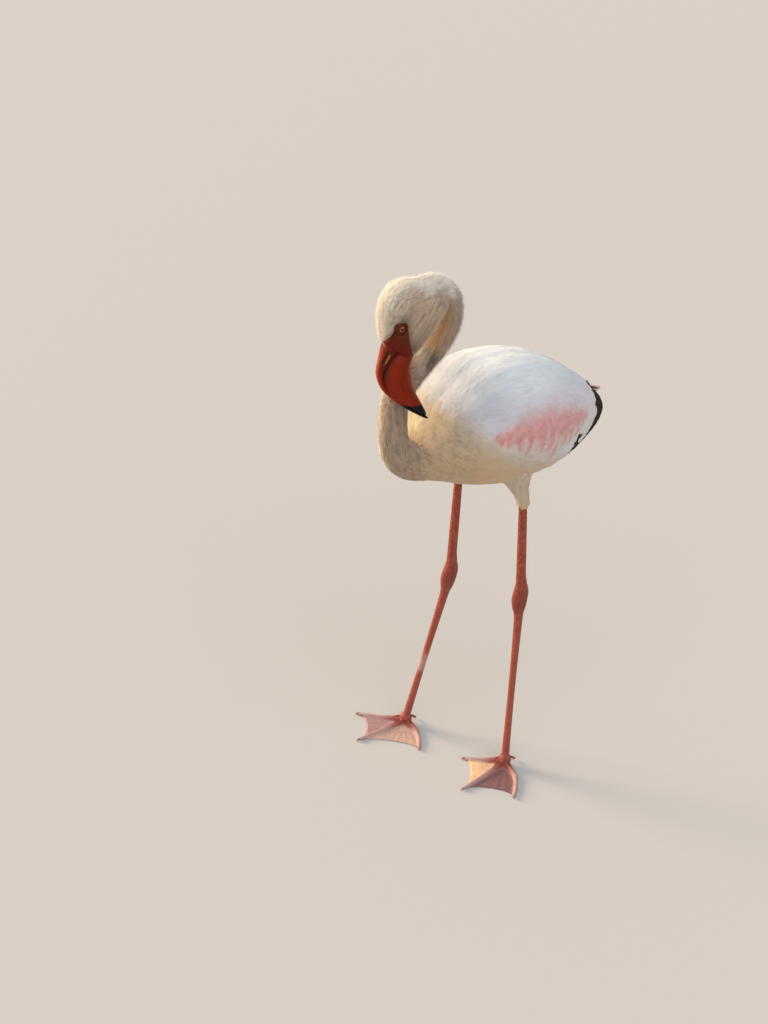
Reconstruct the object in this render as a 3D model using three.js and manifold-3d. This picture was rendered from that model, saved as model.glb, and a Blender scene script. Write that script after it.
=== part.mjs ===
// A lesser flamingo at life size, standing on both feet with its neck folded in an S, the head
// hung down from the top of the arch and the bill beside the left of the neck.
// Millimetres, +Z up. The bird is built in its own frame, with forward +X and left +Y, and the
// finished group is turned to face -Y and moved so that the origin is at the middle of its
// bounding box, on the floor.

import * as THREE from 'three';
import { mergeVertices } from 'three/addons/utils/BufferGeometryUtils.js';
import Module from 'manifold-3d';

const wasm = await Module();
wasm.setup();

// ---------------------------------------------------------------- driving dimensions

const GAP = 0.3;                    // clearance between two neighbouring solids

// Trunk, out to the feather tips: height of the centre line, half height and half width at
// stations from the tail end to the breast.
const TRUNK = [
  { at: -154, mid: 412, high: 11, wide: 13 },
  { at: -142, mid: 415, high: 22, wide: 24 },
  { at: -122, mid: 419, high: 37, wide: 41 },
  { at: -90, mid: 426, high: 54, wide: 58 },
  { at: -45, mid: 432, high: 70, wide: 70 },
  { at: 0, mid: 436, high: 74, wide: 73 },
  { at: 45, mid: 436, high: 63, wide: 64 },
  { at: 80, mid: 429, high: 43, wide: 45 },
  { at: 108, mid: 417, high: 27, wide: 30 },
];
const TRUNK_CAPS = [6, 24];         // length over which the tail end and the breast round off
const KEEL = 0.1;                   // how much narrower the belly is than the back

const WING_THICK = 8;
const WING_PROUD = 1.5;             // the folded wing stands this far out of the body's side
const WING_INNER = 6;               // from the spine to the wing's upper edge
const FLIGHT_THICK = 10;            // the packed flight feathers at the wing's lower edge
const FLIGHT_SHOW = 9;              // how far they show behind and below the wing
// The stretch behind and below the wing where they show.
const FLIGHT_BOX = { size: [150, 260, 200], at: [-125, 0, 313] };

// Neck centre line, from inside the breast to inside the back of the head.
const NECK_PATH = [
  [55, 0, 424], [96, 0, 413], [121, 2, 424], [133, 3, 447], [136, 3, 471], [133, 0, 490],
  [122, -2, 506], [107, -3, 520], [91, -1, 536], [82, 3, 553], [79, 8, 571], [83, 12, 590],
  [93, 15, 609], [112, 15, 618], [133, 13, 609],
];
const NECK_LENGTHS = 6;             // the neck is divided into this many pieces
const NECK_RADIUS = [
  { at: 0, wide: 34 }, { at: 0.11, wide: 26 }, { at: 0.2, wide: 20 }, { at: 0.28, wide: 16.5 },
  { at: 0.4, wide: 15 }, { at: 0.6, wide: 13.5 }, { at: 0.8, wide: 13.5 }, { at: 0.9, wide: 15 },
  { at: 1, wide: 18 },
];

// Head frame: forward along the skull, left, and up through the crown.
const HEAD_AT = [140, 12, 591];
const HEAD_DOWN = 62;               // degrees that the head points below level
const HEAD_RIGHT = 22;              // degrees that it is turned to the bird's right
const HEAD_TILT = 8;                // degrees that its left side is raised

// Head, out to the down: along the head frame's forward axis.
const HEAD = [
  { at: -42, mid: -11, high: 24, wide: 15 },
  { at: -25, mid: -2.5, high: 33, wide: 19 },
  { at: -9, mid: -0.5, high: 33, wide: 21 },
  { at: 7, mid: -2.5, high: 30.8, wide: 19 },
  { at: 20, mid: -5, high: 25, wide: 16 },
  { at: 35, mid: -10, high: 17, wide: 12.5 },
];
const HEAD_CAPS = [16, 5];

const EYE_RADIUS = 6;
const EYE_AT = [8.4, 12.6, 4.4];    // head frame, left eye

// Bill, in the head frame's middle plane: centre line of each half, with its half height and
// half width.
const BILL_UPPER = [
  { at: [24, -0.8], high: 10, wide: 12 },
  { at: [34, -1.2], high: 8.4, wide: 11 },
  { at: [46, -2], high: 5.6, wide: 8.8 },
  { at: [61.6, -5.8], high: 3.2, wide: 6.6 },
  { at: [71.3, -15.6], high: 2.5, wide: 5.5 },
  { at: [76.9, -31.8], high: 2.2, wide: 5 },
  { at: [79.4, -50], high: 2, wide: 4.2 },
  { at: [80.5, -70], high: 1.5, wide: 2.6 },
  { at: [80.5, -76], high: 1.2, wide: 1.6 },
];
const BILL_LOWER = [
  { at: [24, -18.5], high: 8.5, wide: 10 },
  { at: [45, -18.2], high: 14, wide: 10.5 },
  { at: [56.2, -23], high: 15.5, wide: 10.5 },
  { at: [64.6, -32], high: 14.5, wide: 9.5 },
  { at: [70.3, -45.5], high: 10, wide: 8 },
  { at: [74.7, -59.9], high: 5.5, wide: 6 },
  { at: [79, -72], high: 2.2, wide: 3 },
];

// Tail: a short flat fan between the wing tips.
const TAIL = [
  { at: -90, mid: 450, high: 8, wide: 17 },
  { at: -128, mid: 443, high: 7, wide: 14 },
  { at: -149, mid: 436, high: 5, wide: 9 },
  { at: -163, mid: 432, high: 3, wide: 5.5 },
];

// Legs: the points of each leg, then sizes that both share. A toe has its direction in degrees
// from straight ahead towards the bird's left, how far its middle bows outwards, and its length.
const LEGS = {
  left: {
    side: 1,
    knee: [-9, 35, 398],
    feather_end: [-29.5, 37, 343],
    ankle: [-40.3, 41.2, 217],
    hub: [-27, 64, 8],
    toes: { inner: [-42, 0, 46], middle: [9, 0, 71], outer: [60, 8, 60] },
  },
  right: {
    side: -1,
    knee: [12, -34, 398],
    feather_end: [1, -37, 348],
    ankle: [-3.6, -38.6, 214],
    hub: [23, -60, 8],
    toes: { inner: [70, 7, 52], middle: [-1, 0, 67], outer: [-47, 0, 56] },
  },
};
const THIGH_RADIUS = [24, 15.5, 10, 7.4];
const SHANK_RADIUS = [4.7, 5.3, 5.6];
const ANKLE_SIZE = { along: 19, high: 8.8, wide: 7.8 };
const TARSUS_RADIUS = [5.2, 4, 4.8];
const HUB_RADIUS = 7.5;
const TOE_RADIUS = [4, 2.9, 3.1, 2.2, 2.5, 1.9];    // swells at each joint
// A toe's centre line: share of its length, share of its bow, and height.
const TOE_LINE = [
  { reach: 0.05, bow: 0, high: 4 },
  { reach: 0.4, bow: 1, high: 2.8 },
  { reach: 0.72, bow: 0.75, high: 2.1 },
  { reach: 1, bow: 0, high: 1.7 },
];
const WEB_THICK = 1.6;
const WEB_REACH = 0.93;             // share of a toe's length that the web runs along
const WEB_SCALLOP = 0.2;            // how far the web's free edge curves in
const CLAW_LENGTH = 4;
const CLAW_RADIUS = [1.7, 1.4, 0.6];
// Hind toe: leaves the back of the foot and reaches down to the floor.
const HALLUX = { back: 5, reach: 16.5, high: 7, low: 1.2, radius: [2.1, 1.5] };

// ---------------------------------------------------------------- shape helpers

const rad = THREE.MathUtils.degToRad;

// Smooth values between stations, as a function of the station's place.
function between(stations, keys) {
  const places = stations.map((s) => s.at);
  const values = stations.flatMap((s) => keys.map((key) => s[key]));
  const cubic = new THREE.CubicInterpolant(places, values, keys.length);
  return (place) => {
    const found = Array.from(cubic.evaluate(place));
    return Object.fromEntries(keys.map((key, i) => [key, found[i]]));
  };
}

// Share of full size at a distance from a rounded end.
function rounded(distance, cap) {
  const short = 1 - Math.min(distance / cap, 1);
  return Math.sqrt(Math.max(0, 1 - short * short));
}

// Keep only the position of each vertex and weld those that share a place.
function weld(geometry) {
  geometry.deleteAttribute('normal');
  geometry.deleteAttribute('uv');
  return mergeVertices(geometry, 1e-4);
}

// A body swept along a curve. size(t) gives the half width and half height there, side the
// direction of the width, and ends says how the two ends close.
function sweep(curve, size, options) {
  const { around, along, side = [0, 1, 0], ends = 'round', caps = [1, 1] } = options;
  const { grow = 0, from = 0, to = 1, lean = 0 } = options;
  const round = ends === 'round';
  const skeleton = round
    ? new THREE.SphereGeometry(1, around, along)
    : new THREE.CylinderGeometry(1, 1, 1, around, along);
  const length = curve.getLength();
  const point = skeleton.attributes.position;
  const vertex = new THREE.Vector3();
  for (let i = 0; i < point.count; i += 1) {
    vertex.fromBufferAttribute(point, i);
    const share = round ? (1 - vertex.y) / 2 : 0.5 - vertex.y;
    const t = THREE.MathUtils.clamp(from + (to - from) * share, 0, 1);
    const centre = curve.getPointAt(t);
    const ahead = curve.getTangentAt(t);
    const wide = new THREE.Vector3(...side);
    wide.addScaledVector(ahead, -wide.dot(ahead)).normalize();
    const high = new THREE.Vector3().crossVectors(ahead, wide);
    const out = Math.hypot(vertex.x, vertex.z);
    const cos = out > 1e-6 ? vertex.x / out : 0;
    const sin = out > 1e-6 ? vertex.z / out : 0;
    const s = size(t);
    let full = out > 1e-6 ? 1 : 0;
    if (round) full = rounded(share * length, caps[0]) * rounded((1 - share) * length, caps[1]);
    centre.addScaledVector(ahead, grow * (2 * share - 1));
    centre.addScaledVector(wide, (s.wide + grow) * full * cos * (1 + lean * sin));
    centre.addScaledVector(high, (s.high + grow) * full * sin);
    point.setXYZ(i, centre.x, centre.y, centre.z);
  }
  return weld(skeleton);
}

// A body along the forward axis, from stations of centre height, half height and half width.
function bodyAlong(stations, options) {
  const first = stations[0].at;
  const last = stations[stations.length - 1].at;
  const value = between(stations, ['mid', 'high', 'wide']);
  const place = (t) => first + (last - first) * t;
  const curve = new THREE.LineCurve3(new THREE.Vector3(first, 0, 0), new THREE.Vector3(last, 0, 0));
  curve.getPointAt = (t) => new THREE.Vector3(place(t), 0, value(place(t)).mid);
  curve.getTangentAt = () => new THREE.Vector3(Math.sign(last - first), 0, 0);
  const size = (t) => value(place(t));
  return sweep(curve, size, options);
}

// A body along a curved centre line in the head's middle plane.
function billHalf(stations, options) {
  const line = stations.map((s) => new THREE.Vector3(s.at[0], 0, s.at[1]));
  const curve = new THREE.CatmullRomCurve3(line);
  const reach = [0];
  line.slice(1).forEach((p, i) => reach.push(reach[i] + p.distanceTo(line[i])));
  const total = reach[reach.length - 1];
  const placed = stations.map((s, i) => ({ at: reach[i] / total, high: s.high, wide: s.wide }));
  return sweep(curve, between(placed, ['high', 'wide']), options);
}

function vectors(points) {
  return points.map((p) => new THREE.Vector3(...p));
}

// A straight or bent round limb of a few radii, with flat ends.
function limb(points, radii, options = {}) {
  const curve = points.length === 2
    ? new THREE.LineCurve3(...vectors(points))
    : new THREE.CatmullRomCurve3(vectors(points));
  const placed = radii.map((r, i) => ({ at: i / (radii.length - 1), wide: r, high: r }));
  const mesh = { around: 10, along: 3, ends: 'flat', ...options };
  return sweep(curve, between(placed, ['wide', 'high']), mesh);
}

// The point at a distance from a, on the way to b.
function towards(a, b, distance) {
  const from = new THREE.Vector3(...a);
  const step = new THREE.Vector3(...b).sub(from).setLength(distance);
  return from.add(step).toArray();
}

function solid(geometry) {
  return new wasm.Manifold(new wasm.Mesh({
    numProp: 3,
    vertProperties: Float32Array.from(geometry.attributes.position.array),
    triVerts: Uint32Array.from(geometry.index.array),
  }));
}

function surface(manifold) {
  const mesh = manifold.getMesh();
  const geometry = new THREE.BufferGeometry();
  const points = Float32Array.from(mesh.vertProperties);
  geometry.setAttribute('position', new THREE.BufferAttribute(points, 3));
  geometry.setIndex(Array.from(mesh.triVerts));
  return geometry;
}

function cut(geometry, ...cutters) {
  return surface(cutters.reduce((left, cutter) => left.subtract(solid(cutter)), solid(geometry)));
}

function common(geometry, other) {
  return surface(solid(geometry).intersect(solid(other)));
}

// ---------------------------------------------------------------- finishes

function finish(color, roughness) {
  return new THREE.MeshStandardMaterial({ color, roughness, metalness: 0 });
}

const WHITE_PLUMAGE = finish(0xe9e4e2, 0.85);
const NECK_DOWN = finish(0xb9a796, 0.9);
const BLACK_FEATHER = finish(0x1d1a1a, 0.6);
const BILL_RED = finish(0xa3271c, 0.4);
const EYE = finish(0xd9822b, 0.15);
const LEG_SKIN = finish(0xc9564a, 0.55);
const WEB_SKIN = finish(0xd08a80, 0.6);
const CLAW_HORN = finish(0x3a2a26, 0.5);

function piece(name, geometry, material) {
  const mesh = new THREE.Mesh(geometry, material.clone());
  mesh.name = name;
  return mesh;
}

// ---------------------------------------------------------------- trunk, wings and tail

const TRUNK_MESH = { around: 20, along: 16, caps: TRUNK_CAPS, lean: KEEL };
const CORE_MESH = { around: 16, along: 12, caps: TRUNK_CAPS, lean: KEEL };

function trunkBody(grow, mesh = TRUNK_MESH) {
  return bodyAlong(TRUNK, { ...mesh, grow });
}

function tailBody(grow) {
  return bodyAlong([...TAIL].reverse(), { around: 10, along: 7, caps: [6, 6], grow });
}

// Outline of the folded wing from the side, grown outwards by a margin.
function wingOutline(margin) {
  const shape = new THREE.Shape();
  const tip = -146 - margin;
  const bend = 86 + margin;
  const top = 525 + margin;
  const low = 385 - margin;
  shape.moveTo(bend, 452);
  shape.bezierCurveTo(bend, 486, 66, top, 20, top);
  shape.lineTo(-100, top);
  shape.bezierCurveTo(-140, 500, tip, 450, tip, 421);
  shape.bezierCurveTo(tip, 402, -124, low + 2, -90, low);
  shape.bezierCurveTo(-56, low - 3, -10, 396 - margin, 42, 414 - margin);
  shape.bezierCurveTo(72, 424 - margin, bend, 436, bend, 452);
  return shape;
}

// A block with that outline, from beside the spine out past the flank.
function wingBlock(side, margin) {
  const depth = 120;
  const block = new THREE.ExtrudeGeometry(wingOutline(margin), {
    depth,
    bevelEnabled: false,
    curveSegments: 4,
  });
  block.rotateX(Math.PI / 2);
  const inner = WING_INNER - Math.min(margin, GAP);
  block.translate(0, side > 0 ? inner + depth : -inner, 0);
  return weld(block);
}

// The wing's flight feathers: what shows of them round the wing's lower and rear edge.
function flightBlock(side, margin) {
  const block = wingBlock(side, FLIGHT_SHOW + margin);
  const rear = new THREE.BoxGeometry(...FLIGHT_BOX.size);
  rear.translate(...FLIGHT_BOX.at);
  rear.translate(0, 0, margin);
  return common(block, weld(rear));
}

const core = trunkBody(-WING_THICK, CORE_MESH);
const coreForTrunk = trunkBody(-WING_THICK - GAP, CORE_MESH);
const flightCore = trunkBody(-FLIGHT_THICK, CORE_MESH);
const flightCoreForTrunk = trunkBody(-FLIGHT_THICK - GAP, CORE_MESH);
const proudBody = trunkBody(WING_PROUD);
const plainBody = trunkBody(0);
const tailRoom = tailBody(GAP);

function wing(side) {
  return cut(common(proudBody, wingBlock(side, 0)), core, tailRoom);
}

// The space a wing takes up, with its clearance.
function wingRoom(side) {
  return common(trunkBody(WING_PROUD + GAP), wingBlock(side, GAP));
}

function flight(side) {
  const strip = common(plainBody, flightBlock(side, 0));
  return cut(strip, wingBlock(side, GAP), flightCore, tailRoom);
}

function trunk() {
  const rooms = [1, -1].flatMap((side) => [
    cut(wingBlock(side, GAP), coreForTrunk),
    cut(flightBlock(side, GAP), flightCoreForTrunk),
  ]);
  return cut(plainBody, ...rooms, tailRoom);
}

// ---------------------------------------------------------------- neck and head

const neckCurve = new THREE.CatmullRomCurve3(vectors(NECK_PATH));
const neckSize = between(NECK_RADIUS, ['wide']);

function neckLength(index) {
  const step = 1 / NECK_LENGTHS;
  const trim = GAP / 2 / neckCurve.getLength();
  const from = index * step + (index > 0 ? trim : 0);
  const to = (index + 1) * step - (index < NECK_LENGTHS - 1 ? trim : 0);
  const size = (t) => ({ wide: neckSize(t).wide, high: neckSize(t).wide });
  return sweep(neckCurve, size, { around: 12, along: 4, ends: 'flat', from, to });
}

function headBody(grow) {
  return bodyAlong(HEAD, { around: 16, along: 12, caps: HEAD_CAPS, grow });
}

function eyeball(side, grow) {
  const ball = new THREE.SphereGeometry(EYE_RADIUS + grow, 12, 7);
  ball.translate(EYE_AT[0], side * EYE_AT[1], EYE_AT[2]);
  return weld(ball);
}

function headGroup() {
  const group = new THREE.Group();
  group.position.set(...HEAD_AT);
  group.rotation.set(rad(HEAD_TILT), rad(HEAD_DOWN), -rad(HEAD_RIGHT), 'ZXY');
  group.updateMatrixWorld(true);
  return group;
}

// A geometry of the head frame carried into the bird's frame.
function fromHead(geometry) {
  return geometry.clone().applyMatrix4(headGroup().matrixWorld);
}

const BILL_MESH = { around: 10, along: 11, caps: [3, 4] };

function addHead(flamingo) {
  const group = headGroup();
  const sockets = [eyeball(1, GAP), eyeball(-1, GAP)];
  const upper = billHalf(BILL_UPPER, BILL_MESH);
  const upperRoom = billHalf(BILL_UPPER, { ...BILL_MESH, grow: GAP });
  const lower = billHalf(BILL_LOWER, BILL_MESH);
  const headRoom = headBody(GAP);
  group.add(piece('head', cut(headBody(0), ...sockets), NECK_DOWN));
  group.add(piece('bill_upper', cut(upper, headRoom), BILL_RED));
  group.add(piece('bill_lower', cut(lower, upperRoom, headRoom), BILL_RED));
  group.add(piece('eye_left', eyeball(1, 0), EYE));
  group.add(piece('eye_right', eyeball(-1, 0), EYE));
  flamingo.add(group);
}

function addNeck(flamingo) {
  const headRoom = fromHead(headBody(GAP));
  const trunkRoom = trunkBody(GAP);
  for (let i = 0; i < NECK_LENGTHS; i += 1) {
    let length = neckLength(i);
    if (i < 3) length = cut(length, trunkRoom, wingRoom(1), wingRoom(-1));
    if (i >= NECK_LENGTHS - 3) length = cut(length, headRoom);
    flamingo.add(piece(`neck_${i + 1}`, length, NECK_DOWN));
  }
}

// ---------------------------------------------------------------- legs and feet

function direction(degrees) {
  return [Math.cos(rad(degrees)), Math.sin(rad(degrees))];
}

// Press everything below the floor flat on it.
function flattened(geometry) {
  const point = geometry.attributes.position;
  for (let i = 0; i < point.count; i += 1) point.setZ(i, Math.max(0, point.getZ(i)));
  return geometry;
}

function toeBody(hub, { degrees, bow, length }, grow) {
  const [dx, dy] = direction(degrees);
  const line = TOE_LINE.map((place) => {
    const ahead = length * place.reach;
    const out = bow * place.bow;
    return [hub[0] + dx * ahead - dy * out, hub[1] + dy * ahead + dx * out, place.high];
  });
  const side = [-dy, dx, 0];
  return flattened(limb(line, TOE_RADIUS, { around: 8, along: 5, side, grow }));
}

function clawBody(hub, { degrees, length }) {
  const [dx, dy] = direction(degrees);
  const line = [{ share: 0, high: 2.2 }, { share: 0.55, high: 2.3 }, { share: 1, high: 1.1 }].map((place) => {
    const ahead = length + GAP + CLAW_LENGTH * place.share;
    return [hub[0] + dx * ahead, hub[1] + dy * ahead, place.high];
  });
  return flattened(limb(line, CLAW_RADIUS, { around: 6, along: 2, side: [-dy, dx, 0] }));
}

// The skin between two toes: a thin plate with a hollow free edge. Its other two edges run
// under the toes' centre lines.
function webPlate(hub, toeA, toeB) {
  const [a, b] = [toeA, toeB].map(({ degrees, bow, length }) => {
    const [dx, dy] = direction(degrees);
    const reach = length * WEB_REACH;
    const end = [hub[0] + dx * reach, hub[1] + dy * reach];
    const middle = [(hub[0] + end[0]) / 2, (hub[1] + end[1]) / 2];
    const half = [middle[0] - dy * bow * 2, middle[1] + dx * bow * 2];
    return { end, half };
  });
  const chord = [0, 1].map((i) => (a.end[i] + b.end[i]) / 2);
  const free = chord.map((value, i) => THREE.MathUtils.lerp(value, hub[i], WEB_SCALLOP));
  const shape = new THREE.Shape();
  shape.moveTo(hub[0], hub[1]);
  shape.quadraticCurveTo(...a.half, ...a.end);
  shape.quadraticCurveTo(...free, ...b.end);
  shape.quadraticCurveTo(...b.half, hub[0], hub[1]);
  const plate = { depth: WEB_THICK, bevelEnabled: false, curveSegments: 4 };
  return weld(new THREE.ExtrudeGeometry(shape, plate));
}

function hubBody(hub, grow) {
  const ball = new THREE.SphereGeometry(HUB_RADIUS + grow, 10, 7);
  ball.scale(1, 1, 1.1);
  ball.translate(...hub);
  return flattened(weld(ball));
}

function addLeg(flamingo, name, leg) {
  const { knee, feather_end: featherEnd, ankle, hub, toes, side } = leg;
  const hubRoom = hubBody(hub, GAP);
  const trunkRoom = trunkBody(GAP);
  const thigh = (grow) => limb([knee, featherEnd], THIGH_RADIUS, { along: 4, grow });
  const up = towards(ankle, featherEnd, ANKLE_SIZE.along);
  const down = towards(ankle, hub, ANKLE_SIZE.along);
  const shank = limb([featherEnd, towards(up, featherEnd, GAP)], SHANK_RADIUS);
  const tarsus = limb([towards(down, hub, GAP), hub], TARSUS_RADIUS, { along: 5 });
  const jointLine = new THREE.QuadraticBezierCurve3(...vectors([up, ankle, down]));
  const jointSize = (t) => ({
    wide: THREE.MathUtils.lerp(TARSUS_RADIUS[0], ANKLE_SIZE.wide, Math.sin(Math.PI * t)),
    high: THREE.MathUtils.lerp(TARSUS_RADIUS[0], ANKLE_SIZE.high, Math.sin(Math.PI * t)),
  });
  const joint = sweep(jointLine, jointSize, { around: 12, along: 6, ends: 'flat' });
  flamingo.add(piece(`thigh_${name}`, cut(thigh(0), trunkRoom, wingRoom(side)), WHITE_PLUMAGE));
  flamingo.add(piece(`shank_${name}`, cut(shank, thigh(GAP)), LEG_SKIN));
  flamingo.add(piece(`ankle_${name}`, joint, LEG_SKIN));
  flamingo.add(piece(`tarsus_${name}`, cut(tarsus, hubRoom), LEG_SKIN));
  flamingo.add(piece(`foot_${name}`, hubBody(hub, 0), LEG_SKIN));

  const toeList = Object.entries(toes).map(([toe, [degrees, bow, length]]) => {
    const shape = { degrees, bow, length };
    return { toe, shape, room: toeBody(hub, shape, GAP) };
  });
  toeList.forEach(({ toe, shape, room }, i) => {
    const others = toeList.slice(0, i).map((other) => other.room);
    const body = cut(toeBody(hub, shape, 0), hubRoom, ...others);
    flamingo.add(piece(`toe_${toe}_${name}`, body, LEG_SKIN));
    flamingo.add(piece(`claw_${toe}_${name}`, cut(clawBody(hub, shape), room), CLAW_HORN));
  });
  const [inner, middle, outer] = toeList.map((entry) => entry.shape);
  const rooms = toeList.map((entry) => entry.room);
  const across = { inner: [inner, middle], outer: [middle, outer] };
  Object.entries(across).forEach(([toe, pair]) => {
    const ordered = side > 0 ? pair : [...pair].reverse();
    const skin = cut(webPlate(hub, ...ordered), hubRoom, ...rooms);
    flamingo.add(piece(`web_${toe}_${name}`, skin, WEB_SKIN));
  });

  const root = [hub[0] - HALLUX.back, hub[1], HALLUX.high];
  const tip = [hub[0] - HALLUX.reach, hub[1], HALLUX.low];
  const hallux = flattened(limb([root, tip], HALLUX.radius, { around: 8, along: 3 }));
  flamingo.add(piece(`hallux_${name}`, cut(hallux, hubRoom), LEG_SKIN));
}

// ---------------------------------------------------------------- the bird

const flamingo = new THREE.Group();
flamingo.add(piece('trunk', trunk(), WHITE_PLUMAGE));
flamingo.add(piece('wing_left', wing(1), WHITE_PLUMAGE));
flamingo.add(piece('wing_right', wing(-1), WHITE_PLUMAGE));
flamingo.add(piece('primaries_left', flight(1), BLACK_FEATHER));
flamingo.add(piece('primaries_right', flight(-1), BLACK_FEATHER));
flamingo.add(piece('tail', tailBody(0), WHITE_PLUMAGE));
addNeck(flamingo);
addHead(flamingo);
Object.entries(LEGS).forEach(([name, leg]) => addLeg(flamingo, name, leg));

flamingo.rotation.z = -Math.PI / 2;
flamingo.updateMatrixWorld(true);
const box = new THREE.Box3().setFromObject(flamingo, true);
flamingo.position.set(-(box.min.x + box.max.x) / 2, -(box.min.y + box.max.y) / 2, -box.min.z);

export default flamingo;
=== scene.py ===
# A young lesser flamingo at life size, standing on both feet with its neck folded in an S.
# One skin stands for all of the bird's flesh, and every feather lies over it as solid mesh.
import math
import bmesh
import bpy
import numpy as np
from mathutils import Matrix, Vector
from mathutils.bvhtree import BVHTree
from mathutils.kdtree import KDTree


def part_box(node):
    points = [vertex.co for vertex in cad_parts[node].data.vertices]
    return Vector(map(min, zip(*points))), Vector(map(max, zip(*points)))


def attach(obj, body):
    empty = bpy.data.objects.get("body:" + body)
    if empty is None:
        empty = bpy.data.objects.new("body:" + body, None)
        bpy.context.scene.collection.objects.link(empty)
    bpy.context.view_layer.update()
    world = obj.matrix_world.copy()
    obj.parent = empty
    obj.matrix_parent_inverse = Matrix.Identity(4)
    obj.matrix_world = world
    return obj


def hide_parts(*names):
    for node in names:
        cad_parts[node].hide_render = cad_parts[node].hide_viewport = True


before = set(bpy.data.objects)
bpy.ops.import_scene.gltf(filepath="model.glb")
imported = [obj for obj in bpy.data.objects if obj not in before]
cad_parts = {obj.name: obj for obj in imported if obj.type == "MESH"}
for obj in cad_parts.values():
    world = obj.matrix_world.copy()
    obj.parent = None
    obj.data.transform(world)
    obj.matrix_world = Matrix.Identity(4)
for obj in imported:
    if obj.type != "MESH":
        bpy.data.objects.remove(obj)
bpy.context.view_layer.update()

# ---------------------------------------------------------------- the studio
# The bird looks along -Y. Its own frame has forward, left and up in millimetres, with the
# zero midway between the two feet, and HOME is where that zero lies on the floor.
MM = 0.001
foot_left = sum(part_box("foot_left"), Vector()) / 2
HOME = Vector((foot_left.x - 64 * MM, foot_left.y - 27 * MM, 0))


def at(forward, left, up):
    """A place in the scene from one in the bird's frame."""
    return HOME + Vector((left, -forward, up)) * MM


def show(name, data):
    """Puts an object with this data in the scene, at the origin."""
    made = bpy.data.objects.new(name, data)
    bpy.context.scene.collection.objects.link(made)
    return made


# The camera stands ahead of the bird on its left, at a person's chest height, and looks down at it.
CAMERA_AT = at(1290, 1377, 1440)
CAMERA_TURNS = ((50, "Z"), (59, "X"), (5, "Z"))
camera = show("camera", bpy.data.cameras.new("camera"))
camera.data.sensor_fit = "HORIZONTAL"
camera.data.lens = 93.75
camera.data.clip_start = 0.05
placed = Matrix.Translation(CAMERA_AT)
for degrees, axis in CAMERA_TURNS:
    placed = placed @ Matrix.Rotation(math.radians(degrees), 4, axis)
camera.matrix_world = placed
bpy.context.scene.camera = camera


def hexed(text):
    """An sRGB hex colour as linear RGBA."""
    shares = [int(text[i:i + 2], 16) / 255 for i in (1, 3, 5)]
    linear = [s / 12.92 if s <= 0.04045 else ((s + 0.055) / 1.055) ** 2.4 for s in shares]
    return (*linear, 1)


def add(tree, kind, inputs=None, **settings):
    """Adds a node with its settings. inputs maps a socket's name or number to a value, a socket,
    or a node, which is linked from its first live output."""
    made = tree.nodes.new(kind)
    for name, value in settings.items():
        setattr(made, name, value)
    for name, value in (inputs or {}).items():
        if isinstance(value, bpy.types.Node):
            value = next(out for out in value.outputs if out.enabled)
        if isinstance(value, bpy.types.NodeSocket):
            tree.links.new(value, made.inputs[name])
        else:
            made.inputs[name].default_value = value
    return made


def new_material(name):
    """A named material, and its tree with no nodes in it yet."""
    material = bpy.data.materials.new(name)
    material.use_nodes = True
    material.node_tree.nodes.clear()
    return material, material.node_tree


# Matt paint on a plain pale floor, which runs on far behind the bird.
FLOOR_HALF = 40
floor_mesh = bpy.data.meshes.new("floor")
grid = bmesh.new()
bmesh.ops.create_grid(grid, x_segments=1, y_segments=1, size=FLOOR_HALF)
grid.to_mesh(floor_mesh)
grid.free()
floor_paint, tree = new_material("studio_floor_paint")
paint = add(tree, "ShaderNodeBsdfPrincipled", {"Base Color": hexed("#b9b4ad"), "Roughness": 0.9})
add(tree, "ShaderNodeOutputMaterial", {"Surface": paint})
floor_mesh.materials.append(floor_paint)
show("floor", floor_mesh)

# Soft light: a broad warm key from low on the bird's right, a weak cool fill from its left and
# above, and an even pale surround. Each light: where it comes from, its width in degrees, its
# strength and its colour.
LIGHTS = [
    ("key", (0.50, -0.90, 0.30), 24, 6.0, "#ffe4c2"),
    ("fill", (0.50, 0.76, 0.92), 70, 1.5, "#eef3ff"),
]
for name, towards, width, power, colour in LIGHTS:
    lamp = bpy.data.lights.new(name, "SUN")
    lamp.angle = math.radians(width)
    lamp.energy = power
    lamp.color = hexed(colour)[:3]
    way = at(*towards) - at(0, 0, 0)
    show(name, lamp).matrix_world = way.to_track_quat("Z", "Y").to_matrix().to_4x4()
world = bpy.data.worlds.new("surround")
world.use_nodes = True
world.node_tree.nodes["Background"].inputs["Color"].default_value = hexed("#dce3ec")
world.node_tree.nodes["Background"].inputs["Strength"].default_value = 0.80
bpy.context.scene.world = world
bpy.context.scene.view_settings.view_transform = "Standard"

# ---------------------------------------------------------------- the skin
# One closed skin for trunk, wings, neck, head, legs and feet. It is cast over merged copies of
# the solids, smoothed, and drawn in under the plumage by the depth of the coat there.
LIMBS = ["shank", "ankle", "tarsus", "foot", "toe_inner", "toe_middle", "toe_outer",
         "web_inner", "web_outer", "hallux"]
SIDES = ("left", "right")
NECK = [f"neck_{k}" for k in range(1, 7)]
THIGHS = [f"thigh_{side}" for side in SIDES]
WINGS = [f"wing_{side}" for side in SIDES]
LEG_NODES = [f"{limb}_{side}" for side in SIDES for limb in LIMBS]
FLESH = ["trunk", *WINGS, *NECK, "head", *THIGHS, *LEG_NODES]
FLIGHT = [f"primaries_{side}" for side in SIDES]
TRUNK, WING, NAPE, HEAD, THIGH, LEG, REAR = range(7)


def joined(names):
    """One mesh of merged copies of CAD nodes."""
    whole = bmesh.new()
    for name in names:
        whole.from_mesh(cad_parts[name].data)
    bmesh.ops.remove_doubles(whole, verts=whole.verts, dist=0.02 * MM)
    bmesh.ops.recalc_face_normals(whole, faces=whole.faces)
    mesh = bpy.data.meshes.new("joined")
    whole.to_mesh(mesh)
    whole.free()
    return mesh


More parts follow.
